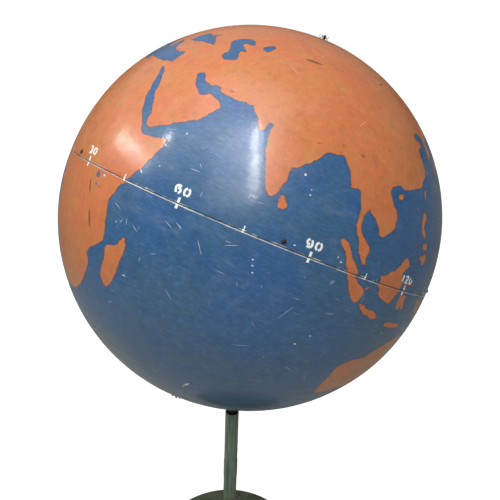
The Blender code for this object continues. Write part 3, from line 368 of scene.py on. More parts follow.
# ---- mesh helpers -------------------------------------------------------------------------------
def revolve(profile, steps, closed=False, doublings=0):
    """Spins a profile of (radius, height) points about Z, or spins part of a turn and doubles it."""
    bm = bmesh.new()
    verts = [bm.verts.new((r, 0.0, z)) for r, z in profile]
    edges = [bm.edges.new(pair) for pair in zip(verts, verts[1:])]
    if closed:
        edges.append(bm.edges.new((verts[-1], verts[0])))
    parts = 2 ** doublings
    bmesh.ops.spin(bm, geom=verts + edges, cent=(0, 0, 0), axis=(0, 0, 1), angle=math.tau / parts,
                   steps=steps // parts, use_merge=parts == 1)
    for k in range(doublings):
        grown = bmesh.ops.duplicate(bm, geom=bm.verts[:] + bm.edges[:] + bm.faces[:])["geom"]
        bmesh.ops.rotate(bm, verts=[g for g in grown if isinstance(g, bmesh.types.BMVert)],
                         cent=(0, 0, 0), matrix=Matrix.Rotation(math.tau / parts * 2 ** k, 3, "Z"))
    bmesh.ops.remove_doubles(bm, verts=bm.verts, dist=0.001 * MM)
    bmesh.ops.recalc_face_normals(bm, faces=bm.faces)
    return bm


def rounded(points, radius, count=3):
    """A path whose inner corners are rounded off."""
    points = [Vector(p) for p in points]
    path = [points[0]]
    for before, corner, after in zip(points, points[1:], points[2:]):
        start = corner + (before - corner).normalized() * min(radius, (before - corner).length / 2)
        stop = corner + (after - corner).normalized() * min(radius, (after - corner).length / 2)
        for k in range(count + 1):
            t = k / count
            path.append(start * (1 - t) ** 2 + corner * 2 * t * (1 - t) + stop * t ** 2)
    path.append(points[-1])
    return [tuple(p) for p in path]


def arc(radius, start, stop, count, centre=0.0):
    """Points on a circle about (0, centre), the angle measured from +Z towards +X."""
    angles = np.linspace(start, stop, count + 1)
    return [(radius * math.sin(a), centre + radius * math.cos(a)) for a in angles]


def cylinder(radius, low, high, steps=32, matrix=UPRIGHT):
    bm = bmesh.new()
    bmesh.ops.create_cone(bm, cap_ends=True, segments=steps, radius1=radius, radius2=radius,
                          depth=high - low)
    bmesh.ops.translate(bm, verts=bm.verts, vec=(0, 0, (high + low) / 2))
    bmesh.ops.transform(bm, verts=bm.verts, matrix=matrix)
    return bm


def block(size, centre=(0, 0, 0), matrix=UPRIGHT):
    bm = bmesh.new()
    bmesh.ops.create_cube(bm, size=1.0)
    bmesh.ops.scale(bm, verts=bm.verts, vec=size)
    bmesh.ops.translate(bm, verts=bm.verts, vec=centre)
    bmesh.ops.transform(bm, verts=bm.verts, matrix=matrix)
    return bm


def add_to(target, extra):
    """Puts one bmesh into another and frees it."""
    mesh = bpy.data.meshes.new("extra")
    extra.to_mesh(mesh)
    extra.free()
    target.from_mesh(mesh)
    bpy.data.meshes.remove(mesh)
    return target


def carved(bm, tool, operation="DIFFERENCE"):
    """The body after a Boolean with a tool; both are used up."""
    objects = []
    for shape in (bm, tool):
        mesh = bpy.data.meshes.new("carving")
        shape.to_mesh(mesh)
        shape.free()
        item = bpy.data.objects.new("carving", mesh)
        bpy.context.collection.objects.link(item)
        objects.append(item)
    body, cutter = objects
    change = body.modifiers.new("carve", "BOOLEAN")
    change.operation = operation
    change.solver = "MANIFOLD"
    change.object = cutter
    graph = bpy.context.evaluated_depsgraph_get()
    result = bmesh.new()
    result.from_object(body, graph)
    for item in objects:
        mesh = item.data
        bpy.data.objects.remove(item, do_unlink=True)
        bpy.data.meshes.remove(mesh)
    if not result.faces:
        raise RuntimeError("a cut left nothing of a piece")
    return result


def flipped(bm):
    """The same shape upside down, about Z = 0."""
    bmesh.ops.scale(bm, verts=bm.verts, vec=(1, 1, -1))
    bmesh.ops.reverse_faces(bm, faces=bm.faces)
    return bm


def soften(bm, width, angle=30 * DEGREE, segments=2):
    """Rounds every edge that is sharper than an angle."""
    bmesh.ops.remove_doubles(bm, verts=bm.verts, dist=0.002 * MM)
    sharp = [e for e in bm.edges if len(e.link_faces) == 2 and e.calc_face_angle() > angle]
    bmesh.ops.bevel(bm, geom=sharp, offset=width, offset_type="OFFSET", segments=segments,
                    profile=0.5, affect="EDGES", clamp_overlap=True, material=-1)
    return bm


def sweep(path, radius, sides=10):
    """A round wire with closed ends along a path."""
    path = [Vector(p) for p in path]
    ahead = [(b - a).normalized() for a, b in zip(path, path[1:])]
    tangents = [ahead[0]] + [(a + b).normalized() for a, b in zip(ahead, ahead[1:])] + [ahead[-1]]
    bm = bmesh.new()
    start = Vector((0, 0, 1)).rotation_difference(tangents[0]).to_matrix().to_4x4()
    bmesh.ops.create_circle(bm, cap_ends=False, segments=sides, radius=radius)
    bmesh.ops.transform(bm, verts=bm.verts, matrix=Matrix.Translation(path[0]) @ start)
    edges = list(bm.edges)
    for k in range(1, len(path)):
        grown = bmesh.ops.extrude_edge_only(bm, edges=edges)["geom"]
        verts = [g for g in grown if isinstance(g, bmesh.types.BMVert)]
        edges = [g for g in grown if isinstance(g, bmesh.types.BMEdge)]
        turn = tangents[k - 1].rotation_difference(tangents[k]).to_matrix().to_4x4()
        matrix = Matrix.Translation(path[k]) @ turn @ Matrix.Translation(-path[k - 1])
        bmesh.ops.transform(bm, verts=verts, matrix=matrix)
    bmesh.ops.holes_fill(bm, edges=[e for e in bm.edges if e.is_boundary])
    bmesh.ops.recalc_face_normals(bm, faces=bm.faces)
    return bm


def finish_piece(name, bm, body, material, stands_for=(), matrix=UPRIGHT, crease=35):
    """Turns a bmesh into a piece that rides on a body, its place in its mesh."""
    bmesh.ops.transform(bm, verts=bm.verts, matrix=matrix)
    mesh = bpy.data.meshes.new(name)
    bm.to_mesh(mesh)
    bm.free()
    mesh.shade_smooth()
    mesh.set_sharp_from_angle(angle=crease * DEGREE)
    mesh.materials.clear()
    mesh.materials.append(material)
    piece = bpy.data.objects.new(name, mesh)
    bpy.context.collection.objects.link(piece)
    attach(piece, body)
    if stands_for:
        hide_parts(*stands_for)
    return piece


# ---- shader helpers -----------------------------------------------------------------------------
class Finish:
    """A material whose node tree is put together step by step."""

    def __init__(self, name, colour=(0.5, 0.5, 0.5), roughness=0.5, metallic=0.0):
        self.material = bpy.data.materials.new(name)
        self.material.use_nodes = True
        self.tree = self.material.node_tree
        self.shader = self.tree.nodes["Principled BSDF"]
        self.shader.inputs["Base Color"].default_value = (*colour, 1.0)
        self.shader.inputs["Roughness"].default_value = roughness
        self.shader.inputs["Metallic"].default_value = metallic
        self.place = self.node("ShaderNodeTexCoord").outputs["Object"]

    def node(self, kind, **values):
        made = self.tree.nodes.new(kind)
        for key, value in values.items():
            setattr(made, key, value)
        return made

    def feed(self, socket, value):
        if isinstance(value, bpy.types.NodeSocket):
            self.tree.links.new(value, socket)
        elif socket.type == "RGBA":
            socket.default_value = (*value[:3], 1.0)
        else:
            socket.default_value = value

    def mapped(self, vector, location=(0, 0, 0), rotation=(0, 0, 0), scale=(1, 1, 1),
               kind="POINT"):
        made = self.node("ShaderNodeMapping", vector_type=kind)
        self.feed(made.inputs["Vector"], vector)
        for key, value in (("Location", location), ("Rotation", rotation), ("Scale", scale)):
            made.inputs[key].default_value = value
        return made.outputs["Vector"]

    def noise(self, scale, vector=None, detail=4.0, roughness=0.55, distortion=0.0):
        made = self.node("ShaderNodeTexNoise")
        self.feed(made.inputs["Vector"], vector or self.place)
        for key, value in (("Scale", scale), ("Detail", detail), ("Roughness", roughness),
                           ("Distortion", distortion)):
            made.inputs[key].default_value = value
        return made.outputs["Fac"]

    def cells(self, scale, vector=None, feature="F1"):
        """Distance to scattered points, and each point's own random value."""
        made = self.node("ShaderNodeTexVoronoi", feature=feature)
        self.feed(made.inputs["Vector"], vector or self.place)
        made.inputs["Scale"].default_value = scale
        apart = self.node("ShaderNodeSeparateColor")
        self.tree.links.new(made.outputs["Color"], apart.inputs["Color"])
        return made.outputs["Distance"], apart.outputs["Red"]

    def math(self, operation, a, b=0.0, clamp=False):
        made = self.node("ShaderNodeMath", operation=operation, use_clamp=clamp)
        self.feed(made.inputs[0], a)
        self.feed(made.inputs[1], b)
        return made.outputs["Value"]

    def times(self, a, b):
        return self.math("MULTIPLY", a, b)

    def plus(self, a, b, clamp=False):
        return self.math("ADD", a, b, clamp)

    def swing(self, noise, reach):
        """A noise moved to swing about 0, over a reach."""
        return self.times(self.math("SUBTRACT", noise, 0.5), reach)

    def ramp(self, value, low, high, start=0.0, stop=1.0):
        """Goes smoothly from start to stop while the value goes from low to high."""
        made = self.node("ShaderNodeMapRange", interpolation_type="SMOOTHSTEP")
        self.feed(made.inputs["Value"], value)
        for key, number in (("From Min", low), ("From Max", high), ("To Min", start),
                            ("To Max", stop)):
            self.feed(made.inputs[key], number)
        return made.outputs["Result"]

    def mix(self, share, first, second):
        made = self.node("ShaderNodeMix", data_type="RGBA")
        self.feed(made.inputs[0], share)
        self.feed(made.inputs[6], first)
        self.feed(made.inputs[7], second)
        return made.outputs[2]

    def glaze(self, under, value, low, high, share, over):
        """Lays a colour over another, up to a share, as a value goes from low to high."""
        return self.mix(self.ramp(value, low, high, 0.0, share), under, over)

    def bump(self, height, distance, strength=1.0):
        made = self.node("ShaderNodeBump")
        self.feed(made.inputs["Height"], height)
        made.inputs["Distance"].default_value = distance
        made.inputs["Strength"].default_value = strength
        return made.outputs["Normal"]

    def axis(self, vector, name):
        made = self.node("ShaderNodeSeparateXYZ")
        self.tree.links.new(vector, made.inputs["Vector"])
        return made.outputs[name]

    def use(self, **sockets):
        """Feeds the shader's own sockets, named with _ for a space."""
        for key, value in sockets.items():
            self.feed(self.shader.inputs[key.replace("_", " ")], value)
        return self.material


def shade(colour, factor):
    return tuple(min(1.0, c * factor) for c in colour)


# ---- map paint ----------------------------------------------------------------------------------
def on_globe(lon, lat, out=0.0):
    """A map place in the globe's own axes."""
    azimuth = lon * DEGREE + PRIME_MERIDIAN
    radius = RADIUS + out
    return Vector((radius * math.cos(lat * DEGREE) * math.cos(azimuth),
                   radius * math.cos(lat * DEGREE) * math.sin(azimuth),
                   radius * math.sin(lat * DEGREE) + math.copysign(SKIRT, lat)))


def hand_marks(finish, local, marks, ragged):
    """How far inside the nearest of some long spots a point is: under 1 is inside."""
    nearest = None
    for lon, lat, half_length, half_width, turn in marks:
        out = Matrix.Rotation(lon * DEGREE + PRIME_MERIDIAN, 3, "Z")
        out = out @ Matrix.Rotation(-lat * DEGREE, 3, "Y") @ Matrix.Rotation(turn * DEGREE, 3, "X")
        spot = finish.mapped(local, on_globe(lon, lat), out.to_euler(),
                             (MARK_REACH, half_length * MM, half_width * MM), "TEXTURE")
        length = finish.node("ShaderNodeVectorMath", operation="LENGTH")
        finish.tree.links.new(spot, length.inputs[0])
        value = length.outputs["Value"]
        nearest = value if nearest is None else finish.math("MINIMUM", nearest, value)
    return finish.ramp(finish.plus(nearest, ragged), 1.1, 0.75)


LIP_CENTRE = 1.45 * MM
MARK_REACH = 8 * MM


def map_paint():
    """Hand-painted land and sea over primer, polished by handling and scratched, with painted shade, a
    painted shadow and a painted highlight along the seam.
    """
    globe = settings().globe
    finish = Finish("map_paint")
    back = GLOBE.inverted()
    local = finish.mapped(finish.place, back.to_translation(), back.to_euler())
    height = finish.axis(local, "Z")
    coast = finish.node("ShaderNodeAttribute", attribute_name="coast").outputs["Fac"]
    drift = finish.noise(7.0, local, 3.0)
    cloud = finish.noise(26.0, local, 5.0, 0.6)
    mottle = finish.noise(75.0, local, 4.0, 0.6)
    wobble = finish.noise(160.0, local, 3.0, 0.6)
    grain = finish.noise(700.0, local, 2.0)
    brushing = finish.noise(1.0, finish.mapped(local, scale=(90, 90, 480)), 3.0, 0.6)
    ragged = finish.swing(wobble, 0.9)

    for waver, reach in ((mottle, 5.0), (wobble, 5.0)):
        bend = finish.swing(waver, reach)
        coast = finish.plus(coast, bend)
    land = finish.ramp(coast, -0.30, 0.30)
    edge = finish.ramp(finish.math("ABSOLUTE", coast), 1.5, 0.3)

    land_colour = globe.land_colour
    ochre = tuple(c * f for c, f in zip(land_colour, (0.92, 1.20, 0.85)))
    red = tuple(c * f for c, f in zip(land_colour, (1.04, 0.84, 0.88)))
    soil = finish.mix(finish.ramp(drift, 0.35, 0.65), red, land_colour)
    soil = finish.glaze(soil, cloud, 0.48, 0.72, 0.65, ochre)
    soil = finish.glaze(soil, mottle, 0.52, 0.26, 0.42, shade(land_colour, 0.66))
    soil = finish.glaze(soil, mottle, 0.54, 0.75, 0.55, shade(land_colour, 1.22))
    soil = finish.glaze(soil, wobble, 0.55, 0.30, 0.14, shade(land_colour, 0.55))
    soil = finish.glaze(soil, cloud, 0.44, 0.28, 0.45, shade(land_colour, 0.70))
    sea_colour = globe.sea_colour
    grey_sea = tuple(c * f for c, f in zip(sea_colour, (1.45, 1.08, 0.82)))
    water = finish.mix(finish.ramp(drift, 0.38, 0.62), grey_sea, sea_colour)
    water = finish.glaze(water, cloud, 0.45, 0.75, 0.55, shade(sea_colour, 0.76))
    water = finish.glaze(water, mottle, 0.52, 0.74, 0.50, shade(sea_colour, 1.45))
    water = finish.glaze(water, wobble, 0.52, 0.28, 0.30, shade(sea_colour, 0.60))

    water = finish.glaze(water, brushing, 0.50, 0.72, 0.50, shade(grey_sea, 1.60))
    water = finish.glaze(water, brushing, 0.48, 0.30, 0.45, shade(sea_colour, 0.62))

    lakes = hand_marks(finish, local, BROWN_LAKES, ragged)
    soil = finish.mix(finish.times(lakes, 0.75), soil, (0.105, 0.052, 0.022))
    stains = hand_marks(finish, local, DARK_STAINS, ragged)
    soil = finish.mix(finish.times(stains, 0.55), soil, (0.16, 0.045, 0.016))
    patches = hand_marks(finish, local, BLUE_PATCHES, ragged)
    soil = finish.mix(finish.times(patches, 0.85), soil, shade(grey_sea, 0.95))
    colour = finish.mix(land, water, soil)
    edge_colour = finish.mix(land, shade(sea_colour, 0.42), (0.22, 0.075, 0.030))
    colour = finish.mix(finish.times(edge, 0.62), colour, edge_colour)

    # handling, dirt and age
    smear = finish.noise(14.0, finish.mapped(local, scale=(1, 1, 2.6)), 6.0, 0.68, 0.6)
    dust = finish.ramp(smear, 0.52, 0.80, 0.0, 0.11)
    colour = finish.mix(dust, colour, (0.55, 0.52, 0.47))
    colour = finish.glaze(colour, grain, 0.40, 0.28, 0.35, (0.03, 0.035, 0.045))

    # scratches that run with the hand, chips, the seam's lips painted pale as worn primer and as a painted
    # highlight, painted shade along the seam and a painted shadow in its groove
    sparse = finish.ramp(finish.noise(9.0, local, 2.0), 0.44, 0.58)
    lines = None
    for turn, stretch in ((0.35, (16, 420, 60)), (-0.8, (360, 20, 60)), (1.3, (26, 40, 520))):
        streak = finish.noise(1.0, finish.mapped(local, rotation=(turn, turn * 2, turn),
                                                 scale=stretch), 2.0, 0.4, 0.3)
        line = finish.ramp(streak, 0.725, 0.80)
        lines = line if lines is None else finish.math("MAXIMUM", lines, line)
    lines = finish.times(lines, sparse)
    hand = hand_marks(finish, local, SCRATCHES, ragged)
    scratched = finish.math("MAXIMUM", finish.times(lines, 0.55), hand)
    spots, chance = finish.cells(34.0, local)
    specks = finish.times(finish.ramp(spots, 0.050, 0.025),
                         finish.ramp(chance, 0.60, 0.64))
    chips = hand_marks(finish, local, PALE_CHIPS, ragged)
    # painted highlight: the lip just below the seam is painted pale, as worn primer and as light caught on
    # its edge; the thin pale line just above the seam is a painted highlight
    waver = finish.swing(wobble, 2.2 * MM)
    below = finish.math("ABSOLUTE", finish.plus(height, LIP_CENTRE))
    lip = finish.ramp(finish.plus(below, waver), 0.95 * MM, 0.45 * MM)
    lip = finish.times(lip, finish.ramp(cloud, 0.38, 0.60, 0.25, 1.0))
    over = finish.math("ABSOLUTE", finish.math("SUBTRACT", height, LIP_CENTRE))
    upper_lip_highlight = finish.ramp(finish.plus(over, waver), 0.9 * MM, 0.3 * MM)
    upper_lip_highlight = finish.times(upper_lip_highlight, finish.ramp(cloud, 0.50, 0.60))
    lip = finish.math("MAXIMUM", lip, upper_lip_highlight)
    lip = finish.times(lip, finish.ramp(land, 0.0, 1.0, 1.0, 0.45))
    bare_and_highlight = finish.math("MAXIMUM", finish.math("MAXIMUM", chips, specks), lip)
    primer = finish.mix(finish.ramp(wobble, 0.35, 0.65), (0.66, 0.71, 0.74), (0.86, 0.88, 0.87))
    colour = finish.mix(finish.times(scratched, 0.60), colour, primer)
    colour = finish.mix(finish.times(bare_and_highlight, 0.94), colour, primer)
    # painted shade: the paint darkens towards the seam on both shells, as grime and as the shade where the
    # shells turn in
    seam_dirt_and_shade_band = finish.ramp(finish.math("ABSOLUTE", height), 9 * MM, 1 * MM, 0.0, 0.22)
    seam_dirt_and_shade = finish.times(seam_dirt_and_shade_band, finish.ramp(mottle, 0.35, 0.65))
    colour = finish.mix(seam_dirt_and_shade, colour, (0.045, 0.050, 0.055))
    # painted shadow: a near-black line where the groove between the shells lies in shade
    groove = finish.ramp(finish.math("ABSOLUTE", height), 0.85 * MM, 0.55 * MM, 0.0, 0.85)
    colour = finish.mix(groove, colour, (0.018, 0.020, 0.026))

    roughness = finish.ramp(smear, 0.30, 0.75, 0.27, 0.46)
    roughness = finish.plus(roughness, finish.times(grain, 0.06))
    roughness = finish.plus(roughness, finish.times(scratched, 0.20), True)
    layer = finish.times(land, 0.10 * MM)
    relief = finish.plus(layer, finish.times(mottle, 0.10 * MM))
    relief = finish.plus(relief, finish.times(cloud, 0.22 * MM))
    relief = finish.plus(relief, finish.times(grain, 0.012 * MM))
    relief = finish.math("SUBTRACT", relief, finish.times(lines, 0.05 * MM))
    relief = finish.math("SUBTRACT", relief, finish.times(lip, 0.07 * MM))
    normal = finish.bump(relief, 1.0, 0.55)
    hazed = finish.plus(relief, finish.times(brushing, 0.16 * MM))
    hazed = finish.plus(hazed, finish.times(wobble, 0.14 * MM))
    polish = finish.ramp(brushing, 0.36, 0.62, 0.30, 0.62)
    return finish.use(Base_Color=colour, Roughness=roughness, Normal=normal, Coat_Weight=polish,
                      Coat_Roughness=finish.ramp(smear, 0.3, 0.7, 0.09, 0.17),
                      Coat_Normal=finish.bump(hazed, 1.0, 0.8))


def stencil_paint():
    """White stencil paint, thin and rubbed."""
    globe = settings().globe
    finish = Finish("stencil_paint")
    rub = finish.noise(420.0, detail=4.0, roughness=0.7)
    soft = finish.noise(60.0, detail=3.0)
    white = globe.figure_colour
    colour = finish.mix(finish.ramp(soft, 0.35, 0.70, 0.0, 0.45), white, shade(white, 0.80))
    colour = finish.glaze(colour, rub, 0.38, 0.24, 0.75, (0.30, 0.36, 0.45))
    roughness = finish.ramp(rub, 0.3, 0.7, 0.40, 0.60)
    normal = finish.bump(rub, 0.04 * MM, 1.0)
    return finish.use(Base_Color=colour, Roughness=roughness, Normal=normal)


# ---- stand paint and metals ---------------------------------------------------------------------
def stand_paint(name, colour, worn, streak_scale, wear_high=0.0, low_colour=None):
    """Old brushed enamel with runs and rubbed places; worn is under it, low_colour near the floor."""
    finish = Finish(name)
    runs = finish.noise(1.0, finish.mapped(finish.place, scale=streak_scale), 5.0, 0.62, 0.4)
    cloud = finish.noise(24.0, detail=5.0, roughness=0.6)
    mottle = finish.noise(110.0, detail=4.0, roughness=0.6)
    grain = finish.noise(900.0, detail=2.0)
    base = finish.mix(finish.ramp(cloud, 0.35, 0.68), shade(colour, 0.82), shade(colour, 1.18))
    if low_colour:
        low = finish.ramp(finish.axis(finish.place, "Z"), 0.36, 0.12)
        base = finish.mix(low, base, low_colour)
    greener = tuple(c * f for c, f in zip(colour, (0.90, 1.12, 0.92)))
    base = finish.glaze(base, mottle, 0.46, 0.66, 0.5, greener)
    base = finish.glaze(base, runs, 0.54, 0.38, 0.80, shade(colour, 0.25))
    base = finish.glaze(base, runs, 0.60, 0.76, 0.35, shade(colour, 1.60))
    spots, chance = finish.cells(58.0)
    near_spot = finish.ramp(finish.plus(spots, finish.swing(mottle, 0.20)), 0.10, 0.06)
    chips = finish.times(near_spot, finish.ramp(chance, 0.76 - wear_high, 0.80 - wear_high))
    base = finish.mix(finish.times(chips, 0.85), base, worn)
    base = finish.glaze(base, grain, 0.40, 0.25, 0.4, shade(colour, 0.45))
    roughness = finish.ramp(cloud, 0.3, 0.7, 0.26, 0.44)
    roughness = finish.plus(roughness, finish.times(chips, 0.25), True)
    relief = finish.plus(finish.times(runs, 0.10 * MM),
                         finish.times(mottle, 0.12 * MM))
    relief = finish.plus(relief, finish.times(grain, 0.02 * MM))
    relief = finish.math("SUBTRACT", relief, finish.times(chips, 0.12 * MM))
    normal = finish.bump(relief, 1.0, 0.7)
    return finish.use(Base_Color=base, Roughness=roughness, Normal=normal)


def metal(name, colour, low, high, tarnish, brush=(60, 60, 60), bump=0.03 * MM, share=0.6):
    """Machined metal: brush marks, finger marks and tarnish in its hollows."""
    finish = Finish(name, metallic=1.0)
    marks = finish.noise(1.0, finish.mapped(finish.place, scale=brush), 3.0, 0.6)
    cloud = finish.noise(90.0, detail=4.0, roughness=0.6)
    pits = finish.noise(650.0, detail=3.0, roughness=0.65)
    tint = finish.mix(finish.ramp(cloud, 0.40, 0.66, 0.0, share), colour, tarnish)
    tint = finish.glaze(tint, pits, 0.40, 0.26, 0.65, shade(tarnish, 0.55))
    rough = finish.ramp(cloud, 0.30, 0.70, low, high)
    rough = finish.plus(rough, finish.times(marks, 0.12), True)
    relief = finish.plus(finish.times(marks, bump),
                         finish.times(pits, bump * 0.7))
    return finish.use(Base_Color=tint, Roughness=rough, Normal=finish.bump(relief, 1.0, 0.8))


def cast_iron():
    """Rough sand-cast iron under thin black paint, with rust coming through."""
    finish = Finish("cast_iron", metallic=0.35)
    sand = finish.noise(380.0, detail=5.0, roughness=0.7)
    cloud = finish.noise(60.0, detail=5.0, roughness=0.65)
    tint = finish.mix(finish.ramp(cloud, 0.35, 0.65), (0.050, 0.050, 0.048), (0.095, 0.090, 0.082))
    tint = finish.glaze(tint, cloud, 0.60, 0.74, 0.75, (0.18, 0.075, 0.032))
    roughness = finish.ramp(sand, 0.3, 0.7, 0.55, 0.80)
    relief = finish.plus(finish.times(sand, 0.35 * MM),
                         finish.times(cloud, 0.30 * MM))
    return finish.use(Base_Color=tint, Roughness=roughness, Normal=finish.bump(relief, 1.0, 0.8))


def rubber():
    """Perished black rubber with a fine moulded grain and floor dust."""
    finish = Finish("rubber")
    grain = finish.noise(900.0, detail=3.0)
    dust = finish.noise(45.0, detail=5.0, roughness=0.65)
    tint = finish.mix(finish.ramp(dust, 0.48, 0.75, 0.0, 0.5), (0.018, 0.018, 0.018),
                      (0.13, 0.125, 0.115))
    roughness = finish.ramp(dust, 0.3, 0.7, 0.70, 0.92)
    normal = finish.bump(grain, 0.05 * MM, 0.8)
    return finish.use(Base_Color=tint, Roughness=roughness, Normal=normal)


def finishes():
    """Every finish by name, made once."""
    if not METALS:
        stand = settings().stand
        METALS.update(
            map_paint=map_paint(), stencil=stencil_paint(),
            post=stand_paint("post_paint", stand.post_colour, (0.17, 0.155, 0.13),
                             (95, 95, 5.5), 0.0, stand.low_colour),
            base=stand_paint("base_paint", stand.base_colour, (0.19, 0.14, 0.10),
                             (14, 34, 14), 0.06),
            socket=stand_paint("socket_paint", shade(stand.base_colour, 0.85),
                               (0.17, 0.09, 0.05), (60, 60, 10), 0.10),
            bright=metal("bright_steel", (0.62, 0.62, 0.60), 0.24, 0.42, (0.30, 0.26, 0.21)),
            dull=metal("dull_steel", (0.36, 0.36, 0.35), 0.34, 0.52, (0.15, 0.12, 0.10)),
            dark=metal("dark_steel", (0.085, 0.080, 0.075), 0.36, 0.55, (0.045, 0.030, 0.022)),
            bronze=metal("bush_bronze", (0.36, 0.23, 0.11), 0.34, 0.50, (0.09, 0.06, 0.035),
                         (40, 40, 900)),
            zinc=metal("galvanised_band", (0.52, 0.54, 0.55), 0.40, 0.60, (0.30, 0.31, 0.31),
                       (30, 30, 500)),
            iron=cast_iron(), rubber=rubber())
    return METALS


METALS = {}


# ---- coast --------------------------------------------------------------------------------------
def unit_vectors(lon, lat):
    lon, lat = np.radians(lon), np.radians(lat)
    return np.stack([np.cos(lat) * np.cos(lon), np.cos(lat) * np.sin(lon), np.sin(lat)], axis=1)


def outline_depth(lon, lat, places, outline, margin=0.16):
    """How far inside an outline each place is, on a globe of radius 1; negative is outside."""
    corners = unit_vectors(*np.array(outline, float).T)
    middle = corners.mean(0) / np.linalg.norm(corners.mean(0))
    reach = np.arccos(np.clip(corners @ middle, -1, 1)).max() + margin
    near = places @ middle > math.cos(min(reach, math.pi))
    depth = np.full(len(lon), -margin)
    lon, lat, places = lon[near], lat[near], places[near]
    nearest = np.full(len(lon), 9.0)
    inside = np.zeros(len(lon), bool)
    for k, (lon_b, lat_b) in enumerate(outline):
        lon_a, lat_a = outline[k - 1]
        if min(lat_a, lat_b) > OPEN_SOUTH:
            run = corners[k] - corners[k - 1]
            share = np.clip((places - corners[k - 1]) @ run / (run @ run), 0, 1)
            foot = corners[k - 1] + share[:, None] * run
            foot /= np.linalg.norm(foot, axis=1)[:, None]
            nearest = np.minimum(nearest, ((places - foot) ** 2).sum(1))
        if lon_a == lon_b:
            continue
        for turn in (0, 360):
            east = lon + turn
            crosses = (lon_a > east) != (lon_b > east)
            inside ^= crosses & (lat < lat_a + (east - lon_a) * (lat_b - lat_a) / (lon_b - lon_a))
    depth[near] = np.sqrt(nearest) * np.where(inside, 1, -1)
    return depth


def coast_depth(points):
    """How far inland each point in the globe's own axes is, in mm; the sea is negative."""
    flat = np.abs(points[:, 2]) <= SKIRT
    height = np.where(flat, 0.0, points[:, 2] - np.sign(points[:, 2]) * SKIRT)
    lat = np.degrees(np.arctan2(height, np.hypot(points[:, 0], points[:, 1])))
    lon = np.degrees(np.arctan2(points[:, 1], points[:, 0]) - PRIME_MERIDIAN)
    lon = (lon + 180) % 360 - 180
    places = unit_vectors(lon, lat)
    depth = np.full(len(lon), -1.0)
    for outline in (AFRICA, EURASIA, NORTH_AMERICA, SOUTH_AMERICA, AUSTRALIA, ANTARCTICA, *ISLANDS):
        depth = np.maximum(depth, outline_depth(lon, lat, places, outline))
    for outline in SEAS:
        depth = np.minimum(depth, -outline_depth(lon, lat, places, outline))
    return np.clip(depth * RADIUS / MM, -40, 40)


# ---- shells -------------------------------------------------------------------------------------
SHELL_WALL = 1.2 * MM
SEAM_GAP = 0.6 * MM
POLE_HOLE = 3.55 * MM
LIP_RADIUS = 0.85 * MM
INNER_ROWS = 22
SPINDLE_OPENING = 14 * MM
SCREW_HOLE = 2.35 * MM
SHELL_DOUBLINGS = 5


def shell_profile(rows):
    """A spun shell's closed section: dome, straight skirt and rolled lip, then the inner face."""
    outer = arc(RADIUS, math.asin(POLE_HOLE / RADIUS), math.pi / 2, rows, SKIRT)
    lip_top = SEAM_GAP / 2 + LIP_RADIUS
    turned = arc(LIP_RADIUS, math.pi / 2, math.pi, 4, lip_top)
    lip = [(RADIUS - LIP_RADIUS + r, z) for r, z in turned]
    inner_radius = RADIUS - SHELL_WALL
    inner = arc(inner_radius, math.pi / 2, math.asin(POLE_HOLE / inner_radius), INNER_ROWS, SKIRT)
    return outer + [(RADIUS, (SKIRT + lip_top) / 2)] + lip + [(inner_radius, SEAM_GAP / 2)] + inner


def dent(bm, depth):
    """Pushes a spun shell off a true sphere by long soft waves that die out at its seam."""
    waves = (((11, 3, 7), 0.9), ((-5, 13, 4), 2.1), ((7, -9, 15), 4.4), ((23, 17, -11), 0.3),
             ((-19, 8, 27), 3.0), ((31, -26, 9), 5.2))
    points = np.array([v.co for v in bm.verts])
    fade = np.minimum(1, np.abs(points[:, 2]) / (40 * MM))
    fade = fade * np.minimum(1, np.hypot(points[:, 0], points[:, 1]) / RADIUS * 6)
    push = sum(np.sin(points @ np.array(way) / RADIUS + start) / (1 + k)
               for k, (way, start) in enumerate(waves))
    moved = points * (1 + depth * fade * push * 0.5 / RADIUS)[:, None]
    for vert, place in zip(bm.verts, moved.tolist()):
        vert.co = place


def node_way(node, centre):
    """The outward frame at a small node that stands on a ball about a centre."""
    turn = (node_middle(node) - centre).to_track_quat("Z", "Y").to_matrix().to_4x4()
    return Matrix.Translation(centre) @ turn


def shell_centre(sign):
    return GLOBE @ Vector((0, 0, sign * SKIRT))


class FLOORGLOBE_OT_shells(bpy.types.Operator):
    """Spin both shells, dent them, cut their holes and paint the map on them"""
    bl_idname = "floor_globe.shells"
    bl_label = "Painted shells"

    def execute(self, context):
        for side, sign in (("north", 1), ("south", -1)):
            self.make_shell(side, sign)
        return {"FINISHED"}

    def make_shell(self, side, sign):
        globe = settings().globe
        bm = revolve(shell_profile(globe.shell_rows), globe.shell_steps, True, SHELL_DOUBLINGS)
        if sign < 0:
            bm = flipped(bm)
        dent(bm, globe.dent_depth)
        bmesh.ops.transform(bm, verts=bm.verts, matrix=GLOBE)
        bm = carved(bm, self.holes(sign))
        back = np.array(GLOBE.inverted())
        points = np.array([v.co for v in bm.verts]) @ back[:3, :3].T + back[:3, 3]
        depth = coast_depth(points)
        piece = finish_piece(side + "_shell", bm, "globe", finishes()["map_paint"],
                             [side + "_hemisphere"])
        coast = piece.data.attributes.new("coast", "FLOAT", "POINT")
        coast.data.foreach_set("value", depth.astype(np.float32))

    def holes(self, sign):
        centre = shell_centre(sign)
        if sign > 0:
            names = [f"seam_screw_{k + 1}" for k in range(6)]
            tool = bmesh.new()
        else:
            names = [f"plate_screw_{k + 1}" for k in range(3)]
            low = CENTRE.z - RADIUS
            tool = cylinder(SPINDLE_OPENING, low - 20 * MM, low + 20 * MM, 64)
        for name in names:
            reach = (RADIUS - 8 * MM, RADIUS + 8 * MM)
            add_to(tool, cylinder(SCREW_HOLE, *reach, 20, node_way(name, centre)))
        return tool


